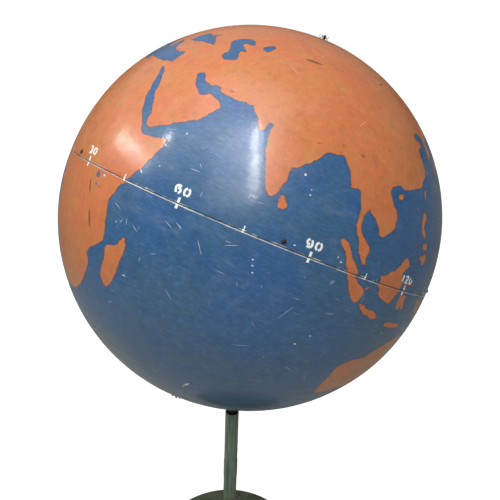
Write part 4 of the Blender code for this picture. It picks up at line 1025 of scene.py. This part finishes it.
# ---- figures and ticks --------------------------------------------------------------------------
PAINT_PROUD = 0.10 * MM
PAINT_SUNK = 0.30 * MM
FIGURE_FOOT = 12.0 * MM
FIGURE_GAP = 1.9 * MM
ONE_WIDTH = 7.0 * MM
LONG_TICK = ((1.3 * MM, 8.8 * MM, 3.8 * MM), (-7.4 * MM, -1.3 * MM, 4.0 * MM))
SHORT_TICK = ((2.9 * MM, 8.0 * MM, 1.7 * MM), (0.4 * MM, 2.4 * MM, 3.4 * MM),
              (-2.2 * MM, -0.4 * MM, 3.4 * MM))


def brushed_stroke(path, width, phase):
    """A flat stroke with slightly ragged sides and a thickness, X east, Y north and Z outwards."""
    path = [Vector((x, y, 0)) for x, y in path]
    steps = []
    for a, b in zip(path, path[1:]):
        count = max(1, round((b - a).length / (0.7 * MM)))
        steps += [a.lerp(b, k / count) for k in range(count)]
    steps.append(path[-1])
    bm = bmesh.new()
    edges = []
    for k, place in enumerate(steps):
        ahead = steps[min(k + 1, len(steps) - 1)] - steps[max(k - 1, 0)]
        side = Vector((-ahead.y, ahead.x, 0)).normalized()
        ends = []
        for way in (-1, 1):
            ragged = 0.05 * math.sin(2.3 * k + phase + way) + 0.04 * math.sin(5.1 * k * way + phase)
            ends.append(place + side * way * width / 2 * (1 + ragged))
        if k == 0:
            edge = bm.edges.new([bm.verts.new(p) for p in ends])
            row = list(edge.verts)
        else:
            grown = bmesh.ops.extrude_edge_only(bm, edges=[edge])["geom"]
            edge = next(g for g in grown if isinstance(g, bmesh.types.BMEdge))
            row = sorted(edge.verts, key=lambda v: (v.co - ends_before[0]).length)
            row[0].co, row[1].co = ends
        ends_before = ends
    bmesh.ops.recalc_face_normals(bm, faces=bm.faces)
    if bm.faces[:][0].normal.z < 0:
        bmesh.ops.reverse_faces(bm, faces=bm.faces)
    bmesh.ops.translate(bm, verts=bm.verts, vec=(0, 0, PAINT_PROUD))
    top = list(bm.faces)
    grown = bmesh.ops.extrude_face_region(bm, geom=top, use_keep_orig=True)["geom"]
    under = [g for g in grown if isinstance(g, bmesh.types.BMVert)]
    bmesh.ops.translate(bm, verts=under, vec=(0, 0, -PAINT_PROUD - PAINT_SUNK))
    bmesh.ops.recalc_face_normals(bm, faces=bm.faces)
    return bm


def wrap(bm, longitude):
    """Lays a flat drawing, its Y measured from the seam, on the shells at a longitude."""
    for vert in bm.verts:
        x, y, z = vert.co
        above = max(abs(y) - SKIRT, 0.0) / RADIUS
        azimuth = longitude * DEGREE + PRIME_MERIDIAN + x / RADIUS
        radius = RADIUS + z
        height = radius * math.sin(above) + min(abs(y), SKIRT)
        vert.co = (radius * math.cos(above) * math.cos(azimuth),
                   radius * math.cos(above) * math.sin(azimuth), math.copysign(height, y))
    return bm


def figure_strokes(text):
    """The strokes of a number, centred on X, as paths in metres."""
    globe = settings().globe
    widths = [ONE_WIDTH if f == "1" else globe.figure_width for f in text]
    left = -(sum(widths) + FIGURE_GAP * (len(text) - 1)) / 2
    for figure, width in zip(text, widths):
        for stroke in FIGURES[figure]:
            inset = globe.stroke_width / 2
            path = [(left + inset + x * (width - 2 * inset),
                     FIGURE_FOOT + inset + y * (globe.figure_height - 2 * inset), 0.0)
                    for x, y in stroke]
            yield [(x, y) for x, y, _ in rounded(path, 3.6 * MM, 4)]
        left += width + FIGURE_GAP


class FLOORGLOBE_OT_figures(bpy.types.Operator):
    """Stencil the longitude figures and the ticks beside the seam"""
    bl_idname = "floor_globe.figures"
    bl_label = "Stencilled figures and ticks"

    def execute(self, context):
        stroke_width = settings().globe.stroke_width
        figures = bmesh.new()
        ticks = bmesh.new()
        for turn in range(0, 360, 15):
            degrees = min(turn, 360 - turn)
            if turn % 30 == 0:
                for k, path in enumerate(figure_strokes(str(degrees))):
                    add_to(figures, wrap(brushed_stroke(path, stroke_width, turn + k), turn))
            marks = LONG_TICK if turn % 30 == 0 else SHORT_TICK
            for low, high, width in marks:
                path = [(0, low), (0, high)]
                add_to(ticks, wrap(brushed_stroke(path, width, turn), turn))
        finish_piece("longitude_figures", figures, "globe", finishes()["stencil"],
                     matrix=GLOBE)
        finish_piece("longitude_ticks", ticks, "globe", finishes()["stencil"],
                     matrix=GLOBE)
        return {"FINISHED"}


# ---- screws -------------------------------------------------------------------------------------
def domed_screw(radius, height, shank, length):
    """A slotted raised-head screw, its head's underside at 0 and its shank going down."""
    dome = [(radius * math.sin(a), height * (0.30 + 0.70 * math.cos(a)))
            for a in np.linspace(0, math.pi / 2, 7)]
    profile = dome + [(radius, 0.0), (shank, 0.0), (shank, -length), (0.0, -length)]
    bm = revolve(profile, 40)
    slot = block((2.2 * radius, 0.26 * radius, 0.75 * height), (0, 0, height * 0.86))
    return soften(carved(bm, slot), 0.10 * MM, 40 * DEGREE, 2)


def place_screws(prefix, count, centre, proud, finish, turn_step):
    for k in range(count):
        name = f"{prefix}_{k + 1}"
        way = node_way(name, centre)
        low, high = node_span(name, way)
        radius = (high.x - low.x) / 2
        head = domed_screw(radius, 1.5 * MM, 2.0 * MM, 7.0 * MM)
        spin = Matrix.Rotation(turn_step * (k + 1), 4, "Z")
        matrix = way @ Matrix.Translation((0, 0, RADIUS + proud)) @ spin
        finish_piece(name + "_head", head, "globe", finish, [name], matrix, 30)


class FLOORGLOBE_OT_screws(bpy.types.Operator):
    """Make the slotted screws just north of the seam"""
    bl_idname = "floor_globe.screws"
    bl_label = "Seam screws"

    def execute(self, context):
        place_screws("seam_screw", 6, shell_centre(1), 0.3 * MM, finishes()["dark"], 1.1)
        return {"FINISHED"}


# ---- plate --------------------------------------------------------------------------------------
class FLOORGLOBE_OT_plate(bpy.types.Operator):
    """Press the dished plate under the globe and screw it on"""
    bl_idname = "floor_globe.plate"
    bl_label = "Spindle plate"

    def execute(self, context):
        centre = shell_centre(-1)
        way = node_way("spindle_plate", centre)
        low, high = node_span("spindle_plate", way)
        rim = (high.x - low.x) / 2
        inner = RADIUS + 0.3 * MM
        outer = inner + 2.0 * MM
        angle = math.asin(rim / outer)
        hole = math.asin(SPINDLE_OPENING / inner)
        top = arc(outer, hole, angle, 14)
        bm = revolve(top + arc(inner, angle, hole, 14), 128, closed=True)
        tool = bmesh.new()
        for k in range(3):
            hole_way = way.inverted() @ node_way(f"plate_screw_{k + 1}", centre)
            add_to(tool, cylinder(SCREW_HOLE, RADIUS - 6 * MM, RADIUS + 8 * MM, 20, hole_way))
        bm = soften(carved(bm, tool), 0.5 * MM, 50 * DEGREE, 3)
        finish_piece("spindle_plate_pressing", bm, "globe", finishes()["dull"],
                     ["spindle_plate"], way)
        place_screws("plate_screw", 3, centre, 2.6 * MM, finishes()["bright"], 0.7)
        return {"FINISHED"}


# ---- polar rod and its fittings -----------------------------------------------------------------
THREAD_DEPTH = 0.55
THREAD_INSIDE = 20 * MM
CUP_GAP = 0.3 * MM
CUP_WALL = 2.0 * MM
GROOVE_DEPTH = 0.70 * MM


def thread(radius, pitch, low, high, steps=18):
    """A helical ridge round Z, its root sunk into the rod."""
    depth = THREAD_DEPTH * pitch
    bm = bmesh.new()
    section = ((radius - depth - 0.1 * MM, -0.46), (radius, -0.08), (radius, 0.08),
               (radius - depth - 0.1 * MM, 0.46))
    verts = [bm.verts.new((r, 0, low + pitch * (0.5 + z))) for r, z in section]
    start = bm.faces.new(verts)
    turns = (high - low) / pitch - 1
    bmesh.ops.spin(bm, geom=[start], cent=(0, 0, 0), axis=(0, 0, 1), angle=math.tau * turns,
                   steps=round(steps * turns), dvec=(0, 0, pitch / steps))
    bmesh.ops.recalc_face_normals(bm, faces=bm.faces)
    return bm


def hexagon(across, low, high, bore):
    """A chamfered nut along Z, or a bolt head if its bore is 0."""
    corner = across / 2 / math.cos(math.pi / 6)
    bm = bmesh.new()
    bmesh.ops.create_cone(bm, cap_ends=True, segments=6, radius1=corner, radius2=corner,
                          depth=high - low)
    bmesh.ops.translate(bm, verts=bm.verts, vec=(0, 0, (high + low) / 2))
    flat = across / 2 * 0.97
    drop = (corner - flat) * 0.6
    barrel = revolve([(0.0, high + 1e-6), (flat, high + 1e-6), (corner + 1e-5, high - drop),
                      (corner + 1e-5, low + drop), (flat, low - 1e-6), (0.0, low - 1e-6)], 72)
    bm = carved(bm, barrel, "INTERSECT")
    if bore:
        mouth = bore + 0.5 * MM
        tool = revolve([(0.0, high + MM), (mouth + MM, high + MM), (bore, high - 0.5 * MM),
                        (bore, low + 0.5 * MM), (mouth + MM, low - MM), (0.0, low - MM)], 40)
        bm = carved(bm, tool)
    return soften(bm, 0.12 * MM, 35 * DEGREE, 2)


def dished_cup(low, high, sign):
    """A pressed washer that sits on the pole, with a rolled rim."""
    rim = (high.x - low.x) / 2
    inner = RADIUS + CUP_GAP
    outer = inner + CUP_WALL
    hole = POLE_HOLE / inner
    crown = arc(outer, hole, math.asin(rim / outer), 16, SKIRT)
    face = arc(inner, math.asin(rim / inner) * 0.995, hole, 16, SKIRT)
    bm = revolve(crown + face, 112, closed=True)
    crest = outer + SKIRT
    groove = revolve([(12.2 * MM, crest + MM), (13.6 * MM, crest + MM),
                      (13.2 * MM, crest - GROOVE_DEPTH), (12.6 * MM, crest - GROOVE_DEPTH)],
                     112, closed=True)
    bm = soften(carved(bm, groove), 0.45 * MM, 50 * DEGREE, 3)
    return bm if sign > 0 else flipped(bm)


PIN_WIRE = 0.95 * MM
PIN_AZIMUTH = 150 * DEGREE
PIN_EYE = 2.9 * MM
PIN_REACH = 5.4 * MM
PIN_LEG = 4.6 * MM
PIN_SPREAD = 38 * DEGREE


def split_pin():
    """A folded wire: one leg, the shank, the eye, the shank again and the other leg, along X."""
    gap = PIN_WIRE * 0.98
    eye = PIN_REACH + PIN_EYE
    spread = Vector((-math.cos(PIN_SPREAD), 0, math.sin(PIN_SPREAD))) * PIN_LEG
    half = [(-PIN_REACH + spread.x, 0, gap + spread.z), (-PIN_REACH, 0, gap),
            (PIN_REACH - 0.8 * MM, 0, gap)]
    half = rounded(half, 1.6 * MM, 4)
    loop = [(eye - PIN_EYE * math.cos(a), 0, PIN_EYE * math.sin(a))
            for a in np.linspace(0.55, math.tau - 0.55, 22)]
    back = [(x, y, -z) for x, y, z in reversed(half)]
    return sweep(half + loop + back, PIN_WIRE, 12)


class FLOORGLOBE_OT_poles(bpy.types.Operator):
    """Thread the polar rod and fit its cups, nuts and split pins"""
    bl_idname = "floor_globe.poles"
    bl_label = "Polar fittings"

    def execute(self, context):
        metals = finishes()
        self.rod(metals["dark"])
        for side, sign in (("north", 1), ("south", -1)):
            low, high = node_span(side + "_outer_cup", GLOBE)
            finish_piece(side + "_polar_cup", dished_cup(low, high, sign), "globe",
                         metals["dull"], [side + "_outer_cup"], GLOBE)
            for kind, skew in (("pole_nut", 0.0), ("lock_nut", 0.45)):
                node = f"{side}_{kind}"
                low, high = node_span(node, GLOBE)
                across = min(high.x - low.x, high.y - low.y)
                nut = hexagon(across, low.z, high.z, 3.3 * MM)
                bmesh.ops.rotate(nut, verts=nut.verts, cent=(0, 0, 0),
                                 matrix=Matrix.Rotation(skew * sign, 3, "Z"))
                finish_piece(node + "_machined", nut, "globe", metals["dull"],
                             [node], GLOBE)
            node = side + "_split_pin"
            low, high = node_span(node, GLOBE)
            matrix = GLOBE @ Matrix.Translation((0, 0, (low.z + high.z) / 2))
            matrix = matrix @ Matrix.Rotation(PIN_AZIMUTH, 4, "Z")
            finish_piece(node + "_wire", split_pin(), "globe", metals["bright"],
                         [node], matrix)
        return {"FINISHED"}

    def rod(self, finish):
        pitch = settings().stand.thread_pitch
        low, high = node_span("polar_rod", GLOBE)
        radius = (high.y - low.y) / 2
        root = radius - THREAD_DEPTH * pitch
        plain_top = RADIUS + SKIRT - THREAD_INSIDE
        plain_low = -plain_top
        chamfer = 1.5 * MM
        top = high.z
        foot = low.z
        bm = revolve([(0.0, top), (radius - chamfer, top), (root, top - chamfer * 0.55),
                      (root, plain_top), (radius, plain_top - MM), (radius, plain_low + MM),
                      (root, plain_low), (root, foot + chamfer * 0.55), (radius - chamfer, foot),
                      (0.0, foot)], 36)
        add_to(bm, thread(radius, pitch, plain_top - pitch, top - chamfer))
        add_to(bm, thread(radius, pitch, foot + chamfer, plain_low + pitch))
        finish_piece("polar_rod_threaded", bm, "globe", finish, ["polar_rod"], GLOBE)


# ---- post ---------------------------------------------------------------------------------------
class FLOORGLOBE_OT_post(bpy.types.Operator):
    """Draw the steel post with a rounded mouth, and slip its sleeve on"""
    bl_idname = "floor_globe.post"
    bl_label = "Post and sleeve"

    def execute(self, context):
        metals = finishes()
        low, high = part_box("post_tube")
        radius = high.x
        bore = radius - 2.0 * MM
        rows = [(radius, z) for z in np.linspace(high.z - 2 * MM, low.z + MM, 90)]
        mouth = [(radius - MM + MM * math.sin(a), high.z - MM + MM * math.cos(a))
                 for a in np.linspace(-math.pi / 2, math.pi / 2, 9)]
        bm = revolve(mouth + rows + [(bore, low.z), (bore, high.z - 2 * MM)], 96, closed=True)
        across = Matrix.Translation(node_middle("plug_pin")) @ Matrix.Rotation(math.pi / 2, 4, "X")
        bm = carved(bm, cylinder(3.3 * MM, -radius - 4 * MM, radius + 4 * MM, 28, across))
        for vert in bm.verts:
            wave = math.sin(vert.co.z * 61) + math.sin(vert.co.z * 137 + 2) * 0.6
            vert.co.x += wave * 0.05 * MM
        finish_piece("post_drawn_tube", bm, "stand", metals["post"], ["post_tube"])
        self.sleeve(metals["post"])
        return {"FINISHED"}

    def sleeve(self, finish):
        low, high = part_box("post_sleeve")
        radius = high.x
        wall = 0.6 * MM
        height = high.z - low.z
        outer = rounded([(radius - wall, high.z), (radius, high.z), (radius, low.z),
                         (radius - wall, low.z)], 0.35 * MM)
        bm = revolve(outer, 96, closed=True)
        lap = block((7 * MM, 0.5 * MM, height * 0.94), (0, -radius, (low.z + high.z) / 2))
        lap = soften(lap, 0.2 * MM)
        add_to(bm, lap)
        finish_piece("post_sleeve_wrap", bm, "stand", finish, ["post_sleeve"])


# ---- base ---------------------------------------------------------------------------------------
BOLT_HEAD = 5.3 * MM
BOLT_RADIUS = 4.0 * MM
WASHER_BORE = 4.3 * MM
WASHER_RIM = 8.6 * MM


def cast_skin(bm, depth, keep_below=-1.0):
    """A cast surface's small unevenness, by waves of a few millimetres."""
    bm.normal_update()
    for vert in bm.verts:
        if vert.co.z < keep_below:
            continue
        x, y, z = vert.co
        push = math.sin(x * 411 + y * 233) + math.sin(y * 517 - z * 301) + math.sin(z * 449 + x * 189)
        vert.co += vert.normal * depth * push / 3


def sideways(node):
    """The frame of a node that points straight out from the post, level with it."""
    middle = node_middle(node)
    turn = Vector((middle.x, middle.y, 0)).to_track_quat("Z", "Y").to_matrix().to_4x4()
    return Matrix.Translation((0, 0, middle.z)) @ turn


class FLOORGLOBE_OT_base(bpy.types.Operator):
    """Make the round base plate, its cast socket, the bolts and the set screws"""
    bl_idname = "floor_globe.base"
    bl_label = "Base and socket"

    def execute(self, context):
        self.plate()
        self.socket()
        self.bolts()
        return {"FINISHED"}

    def plate(self):
        low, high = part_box("base_plate")
        radius = high.x
        edge = 3.0 * MM
        top = [(r, high.z) for r in np.linspace(0.0, radius - edge, 44)]
        corner = [(radius - edge + edge * math.sin(a), high.z - edge + edge * math.cos(a))
                  for a in np.linspace(0, math.pi / 2, 7)][1:]
        side = [(radius, (high.z + low.z) / 2 - MM), (radius, low.z + MM), (radius - MM, low.z)]
        bm = revolve(top + corner + side + [(0.0, low.z)], 180)
        for vert in bm.verts:
            if vert.co.z > high.z - 0.01 * MM:
                x, y, _ = vert.co
                vert.co.z -= 0.12 * MM * (1 + math.sin(x * 37 + 1) * math.sin(y * 43))
        finish_piece("base_plate_turned", bm, "stand", finishes()["base"],
                     ["base_plate"])

    def socket(self):
        low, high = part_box("base_socket")
        flange = high.x
        post_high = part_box("post_tube")[1].x
        bore = post_high + 0.3 * MM
        neck = bore + 6.7 * MM
        flange_top = low.z + 8.0 * MM
        profile = rounded([(bore, high.z), (neck, high.z), (neck + 0.6 * MM, flange_top),
                           (flange, flange_top), (flange, low.z), (bore, low.z)], 4.5 * MM, 6)
        bm = revolve(profile, 120, closed=True)
        tool = bmesh.new()
        for k in range(4):
            middle = node_middle(f"socket_bolt_{k + 1}")
            add_to(tool, cylinder(4.4 * MM, low.z - 2 * MM, flange_top + 4 * MM, 28,
                                  Matrix.Translation((middle.x, middle.y, 0))))
        for k in range(2):
            add_to(tool, cylinder(4.35 * MM, bore - 2 * MM, neck + 4 * MM, 28,
                                  sideways(f"socket_set_screw_{k + 1}")))
        bm = carved(bm, tool)
        cast_skin(bm, 0.12 * MM, low.z + MM)
        finish_piece("base_socket_casting", bm, "stand", finishes()["socket"],
                     ["base_socket"])

    def bolts(self):
        metals = finishes()
        for k in range(4):
            node = f"socket_bolt_{k + 1}"
            low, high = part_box(node)
            middle = node_middle(node)
            across = min(high.x - low.x, high.y - low.y)
            under = high.z - BOLT_HEAD
            bm = hexagon(across, under, high.z, 0)
            add_to(bm, cylinder(BOLT_RADIUS, low.z, high.z - BOLT_HEAD * 0.5, 28))
            top, foot = under + 0.9 * MM, under - 0.2 * MM
            ring = [(WASHER_BORE, top), (WASHER_RIM, top), (WASHER_RIM, foot), (WASHER_BORE, foot)]
            add_to(bm, revolve(rounded(ring, 0.3 * MM), 48, True))
            bmesh.ops.rotate(bm, verts=bm.verts, cent=(0, 0, 0),
                             matrix=Matrix.Rotation(0.4 * k, 3, "Z"))
            finish_piece(node + "_forged", bm, "stand", metals["dull"], [node],
                         Matrix.Translation((middle.x, middle.y, 0)))
        for k in range(2):
            node = f"socket_set_screw_{k + 1}"
            way = sideways(node)
            span_low, span_high = node_span(node, way)
            bm = cylinder(4.0 * MM, span_low.z, span_high.z, 40)
            slot = block((9 * MM, 1.2 * MM, 2.4 * MM), (0, 0, span_high.z))
            bm = soften(carved(bm, slot), 0.25 * MM, 50 * DEGREE, 2)
            bmesh.ops.rotate(bm, verts=bm.verts, cent=(0, 0, 0),
                             matrix=Matrix.Rotation(0.5 + k, 3, "Z"))
            finish_piece(node + "_turned", bm, "stand", metals["dark"], [node], way)


# ---- pieces kept as they are --------------------------------------------------------------------
KEPT = {
    "bright": ("thrust_ball", "thrust_plug", "north_inner_cup", "south_inner_cup",
               "north_jam_nut", "south_jam_nut"),
    # the spindle takes the dark steel and the bushes a darkened bronze so that the post's mouth shows
    # dark: painted shade over their own metal
    "dark": ("spindle", "plug_pin", "hub_rod_screw", "hub_spindle_screw"),
    "bronze": ("upper_bush", "lower_bush"),
    "zinc": ("equator_band",),
    "iron": ("hub_block",),
    "rubber": ("base_pad",),
}


class FLOORGLOBE_OT_kept(bpy.types.Operator):
    """Give the inner pieces their metal, rubber and casting finishes"""
    bl_idname = "floor_globe.kept"
    bl_label = "Inner pieces"

    def execute(self, context):
        for kind, nodes in KEPT.items():
            for node in nodes:
                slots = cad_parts[node].data.materials
                slots.clear()
                slots.append(finishes()[kind])
        return {"FINISHED"}


# ---- stage --------------------------------------------------------------------------------------
BRIGHT_SIDE = (-0.87, 0.49, 0.0)


LIGHTS = (
    ("window", -28, 43, 2.6, (0.10, 1.7), "key_power", (1.0, 0.99, 0.98)),
    ("wide_window", -41, 40, 2.6, (1.0, 1.9), "wide_power", (1.0, 0.99, 0.98)),
    ("side_window", -108, 31, 2.4, (1.25, 0.22), "side_power", (1.0, 0.98, 0.95)),
    ("side_lamp", -89.5, 43, 2.4, (0.08, 0.08), "lamp_power", (1.0, 0.99, 0.97)),
    ("overhead", -50, 66, 3.0, (2.4, 2.4), "top_power", (1.0, 1.0, 1.0)))
FLOOR_REACH = 1.6
CURVE_RADIUS = 1.6
CURVE_CENTRE = 3.2
BACKDROP_TOP = 3.4


def direction(heading, height):
    """The way out from the globe at a heading, 0 towards -Y, and an angle above level."""
    return Vector((math.sin(heading) * math.cos(height), -math.cos(heading) * math.cos(height),
                   math.sin(height)))


def area_light(name, heading, height, distance, size, power, colour):
    """A rectangular light aimed at the globe's centre; the smaller it is, the harder its light."""
    data = bpy.data.lights.new(name, "AREA")
    data.shape = "RECTANGLE"
    data.size, data.size_y = size
    data.energy = power
    data.color = colour
    light = bpy.data.objects.new(name, data)
    bpy.context.collection.objects.link(light)
    away = direction(heading, height)
    light.location = CENTRE + away * distance
    light.rotation_euler = away.to_track_quat("Z", "Y").to_euler()
    return light


class FLOORGLOBE_OT_stage(bpy.types.Operator):
    """Set up the pale floor and backdrop, the room, the lights and the camera"""
    bl_idname = "floor_globe.stage"
    bl_label = "Stage, lights and camera"

    def execute(self, context):
        stage = settings().stage
        self.floor(stage)
        for name, heading, height, distance, size, power, colour in LIGHTS:
            area_light(name, heading * DEGREE, height * DEGREE, distance, size,
                       getattr(stage, power), colour)
        self.room(stage)
        self.camera(context, stage)
        context.scene.view_settings.view_transform = "Standard"
        return {"FINISHED"}

    def floor(self, stage):
        """A pale floor that curves up into a backdrop and shows plain white to the camera."""
        finish = Finish("pale_floor", stage.floor_colour, 0.8)
        seen = finish.node("ShaderNodeLightPath").outputs["Is Camera Ray"]
        glow = finish.times(seen, stage.floor_glow)
        material = finish.use(Emission_Color=(1.0, 1.0, 1.0), Emission_Strength=glow)
        curve = [(CURVE_CENTRE + CURVE_RADIUS * math.sin(a), CURVE_RADIUS * (1 - math.cos(a)))
                 for a in np.linspace(0, math.pi / 2, 14)]
        rim = (CURVE_CENTRE + CURVE_RADIUS, BACKDROP_TOP)
        bm = revolve([(0.0, 0.0), (FLOOR_REACH, 0.0), *curve, rim], 96)
        bmesh.ops.reverse_faces(bm, faces=[f for f in bm.faces if f.normal.z < 0])
        mesh = bpy.data.meshes.new("pale_floor")
        bm.to_mesh(mesh)
        bm.free()
        mesh.shade_smooth()
        mesh.materials.append(material)
        floor = bpy.data.objects.new("pale_floor", mesh)
        bpy.context.collection.objects.link(floor)

    def room(self, stage):
        """Light from all round, brighter from one side; the camera itself sees plain white."""
        world = bpy.data.worlds.new("room")
        world.use_nodes = True
        tree = world.node_tree
        sky = tree.nodes["Background"]
        sky.inputs["Color"].default_value = (1.0, 1.0, 1.0, 1.0)
        way = tree.nodes.new("ShaderNodeTexCoord").outputs["Generated"]
        facing = tree.nodes.new("ShaderNodeVectorMath")
        facing.operation = "DOT_PRODUCT"
        facing.inputs[1].default_value = BRIGHT_SIDE
        tree.links.new(way, facing.inputs[0])
        fill = tree.nodes.new("ShaderNodeMapRange")
        tree.links.new(facing.outputs["Value"], fill.inputs["Value"])
        strength = tree.nodes.new("ShaderNodeMapRange")
        seen = tree.nodes.new("ShaderNodeLightPath").outputs["Is Camera Ray"]
        tree.links.new(seen, strength.inputs["Value"])
        tree.links.new(fill.outputs["Result"], strength.inputs["To Min"])
        tree.links.new(strength.outputs["Result"], sky.inputs["Strength"])
        for key, value in (("From Min", -1.0), ("To Min", stage.room_light * 0.25),
                           ("To Max", stage.room_light * 1.75)):
            fill.inputs[key].default_value = value
        bpy.context.scene.world = world

    def camera(self, context, stage):
        data = bpy.data.cameras.new("camera")
        data.lens = stage.lens
        data.shift_y = -0.064
        data.clip_start = 0.02
        camera = bpy.data.objects.new("camera", data)
        context.collection.objects.link(camera)
        away = direction(stage.camera_heading, stage.camera_pitch)
        turn = away.to_track_quat("Z", "Y").to_matrix().to_4x4()
        camera.matrix_world = (Matrix.Translation(CENTRE + away * stage.camera_distance) @ turn
                               @ Matrix.Rotation(stage.camera_roll, 4, "Z"))
        context.scene.camera = camera


class FloorGlobeSettings(bpy.types.PropertyGroup):
    globe: PointerProperty(type=GlobeSettings)
    stand: PointerProperty(type=StandSettings)
    stage: PointerProperty(type=StageSettings)


OPERATORS = (FLOORGLOBE_OT_stage, FLOORGLOBE_OT_shells, FLOORGLOBE_OT_figures,
             FLOORGLOBE_OT_screws, FLOORGLOBE_OT_plate, FLOORGLOBE_OT_poles, FLOORGLOBE_OT_post,
             FLOORGLOBE_OT_base, FLOORGLOBE_OT_kept)


class FLOORGLOBE_PT_panel(bpy.types.Panel):
    """Lists the pieces of the globe in the order in which they are made"""
    bl_idname = "FLOORGLOBE_PT_panel"
    bl_label = "Floor globe"
    bl_space_type = "VIEW_3D"
    bl_region_type = "UI"
    bl_category = "Globe"

    def draw(self, context):
        for step in OPERATORS:
            self.layout.operator(step.bl_idname)
        groups = context.scene.floor_globe
        for group in (groups.globe, groups.stand, groups.stage):
            box = self.layout.box()
            for name in group.__annotations__:
                box.prop(group, name)


CLASSES = (GlobeSettings, StandSettings, StageSettings, FloorGlobeSettings, *OPERATORS,
           FLOORGLOBE_PT_panel)


def register():
    for item in CLASSES:
        bpy.utils.register_class(item)
    bpy.types.Scene.floor_globe = PointerProperty(type=FloorGlobeSettings)


def unregister():
    del bpy.types.Scene.floor_globe
    for item in reversed(CLASSES):
        bpy.utils.unregister_class(item)


def main():
    register()
    for step in OPERATORS:
        group, name = step.bl_idname.split(".")
        getattr(getattr(bpy.ops, group), name)()


if __name__ == "__main__":
    main()
